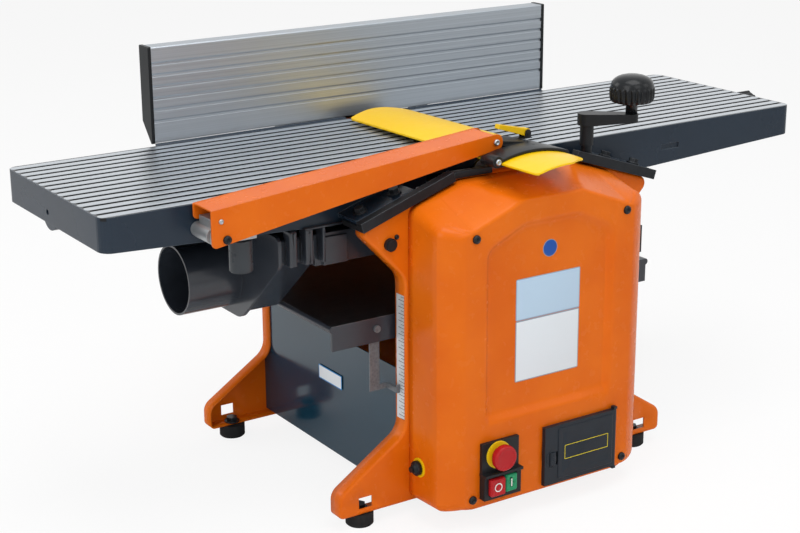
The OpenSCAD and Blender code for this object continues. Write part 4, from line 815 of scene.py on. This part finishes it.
def hoop(centre, across, up, tube, count, squeeze=1.0):
    """Ring of 8 sides: x = s (a + r cos b) cos t, y = -0.6 mm sin b, z = (c + r cos b) sin t."""
    t = np.linspace(0, 2 * np.pi, count + 1)[:-1]
    b = np.linspace(0, 2 * np.pi, 9)[:-1][:, None]
    x = (across + tube * np.cos(b)) * np.cos(t) * squeeze
    z = (up + tube * np.cos(b)) * np.sin(t)
    points = np.stack([x, -0.0006 * np.sin(b) + 0 * x, z], -1) + centre
    k, after, last = np.arange(count), (np.arange(count) + 1) % count, 7 * count
    closing = np.stack([last + k, last + after, after, k], -1)
    return points.reshape(-1, 3), np.concatenate([bands(8, count), closing])


cap_y = -0.302
stop_cap = put("stop_cap", *pillow((-0.113, 0.050), (-0.088, 0.076), cap_y, -0.322, 0.003), "stop_button",
               "red_plastic", red)
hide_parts("stop_button")
start_cap = put("start_cap", *pillow((-0.085, 0.050), (-0.065, 0.076), cap_y, -0.318, 0.003), "start_button",
                "green_plastic", green)
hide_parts("start_button")
stop_mark = hoop((-0.1005, -0.3212, 0.063), 0.0058, 0.0058, 0.0008, 40)
put("stop_mark", *stop_mark, "stop_button", "red_plastic", pale_mark)
start_mark = pillow((-0.0759, 0.0572), (-0.0741, 0.0688), -0.3170, -0.3178, 0.0006)
put("start_mark", *start_mark, "start_button", "green_plastic", pale_mark)

# Crank knob: a moulded bun on a stem, with 24 finger flutes round its lower half, screwed to the crank's pin.
# Its dome is smooth and polished by use.
gloss_black = moulding("polished_black_moulding", "#101214", "#191c1f", 0.16, 0.28, 1.5, 0.02)
knob_r = [8.5, 8.5, 9.6, 20, 25, 28, 30, 31.2, 31.9, 32.3, 32.5, 32.5, 32.3, 31.9, 31.2, 30.9, 30.3, 29.2,
          27.4, 24.8, 21.4, 17, 12, 6, 0.5]
knob_z = [541.2, 556.4, 557.4, 557.6, 557.8, 558.4, 559.6, 561.4, 564, 567.5, 571.5, 575, 577.6, 579.4,
          580.4, 582, 584.6, 587.2, 589.8, 592.2, 594.3, 596, 597.2, 597.9, 598.1]
depth = np.interp(knob_z, [558, 560, 577, 580.4], [0, 0.075, 0.075, 0])[:, None]
a = np.linspace(0, 2 * np.pi, 241)[:-1]
flute = 1 - depth * (0.5 + 0.5 * np.cos(24 * a)) ** 1.5
bun = spin(knob_r, knob_z, "z", (0.1936, -0.2348, 0), 240, flute)
knob = put("crank_bun_knob", *bun, "crank_knob", "black_plastic", gloss_black)
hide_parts("crank_knob")

# Toolbox lid: moulded flap with a raised field beside the latch, hinged at its right edge.
# The field carries an empty painted outline; the latch is ribbed for a finger.
field = pillow((0.0125, 0.0435), (0.1125, 0.1205), -0.3100, -0.3113, 0.0015)
put("lid_field", *field, "lid", "black_plastic", blue_black)
cup = hoop((0.0005, -0.3102, 0.076), 0.0094, 0.0126, 0.0007, 48, 0.92)
put("latch_cup", *cup, "lid", "black_plastic", blue_black)
yellow_line = moulding("yellow_paint_line", "#d8c21c", "#e8d62c", 0.4, 0.55, 1)
outer = loop(card(0.064, 0.082, 0.080, 0.0215, 0.001), 4, 4)
inner = outer + inward(outer) * 0.0008
line_back, line_front = -0.3112, -0.31145
line = np.concatenate([level(outer, line_back), level(outer, line_front),
                       level(inner, line_front), level(inner, line_back)])
put("lid_outline", line, bands(4, len(outer)), "lid", "black_plastic", yellow_line)
rows, columns = 41, 9
u = np.linspace(0, 1, rows)[:, None]
v = np.linspace(0, 1, columns)[None]
swell = np.minimum(np.minimum(u, 1 - u) * 20, 1) * np.minimum(np.minimum(v, 1 - v) * 6, 1)
ridge = 0.0018 * np.sqrt(np.clip(swell, 0, 1)) * (0.8 + 0.2 * np.cos(u * 2 * np.pi * 7))
grip = np.stack([-0.002 + 0.010 * v + 0 * u, -0.3112 - ridge, 0.066 + 0.020 * u + 0 * v], -1)
i = np.arange(rows - 1)[:, None] * columns + np.arange(columns - 1)[None]
faces = np.stack([i, i + 1, i + columns + 1, i + columns], -1).reshape(-1, 4)
put("latch_grip", grip.reshape(-1, 3), faces, "latch", "black_plastic", blue_black)

size = {"cad": [list(v) for v in cad_box], "visual": [list(v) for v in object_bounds()]}
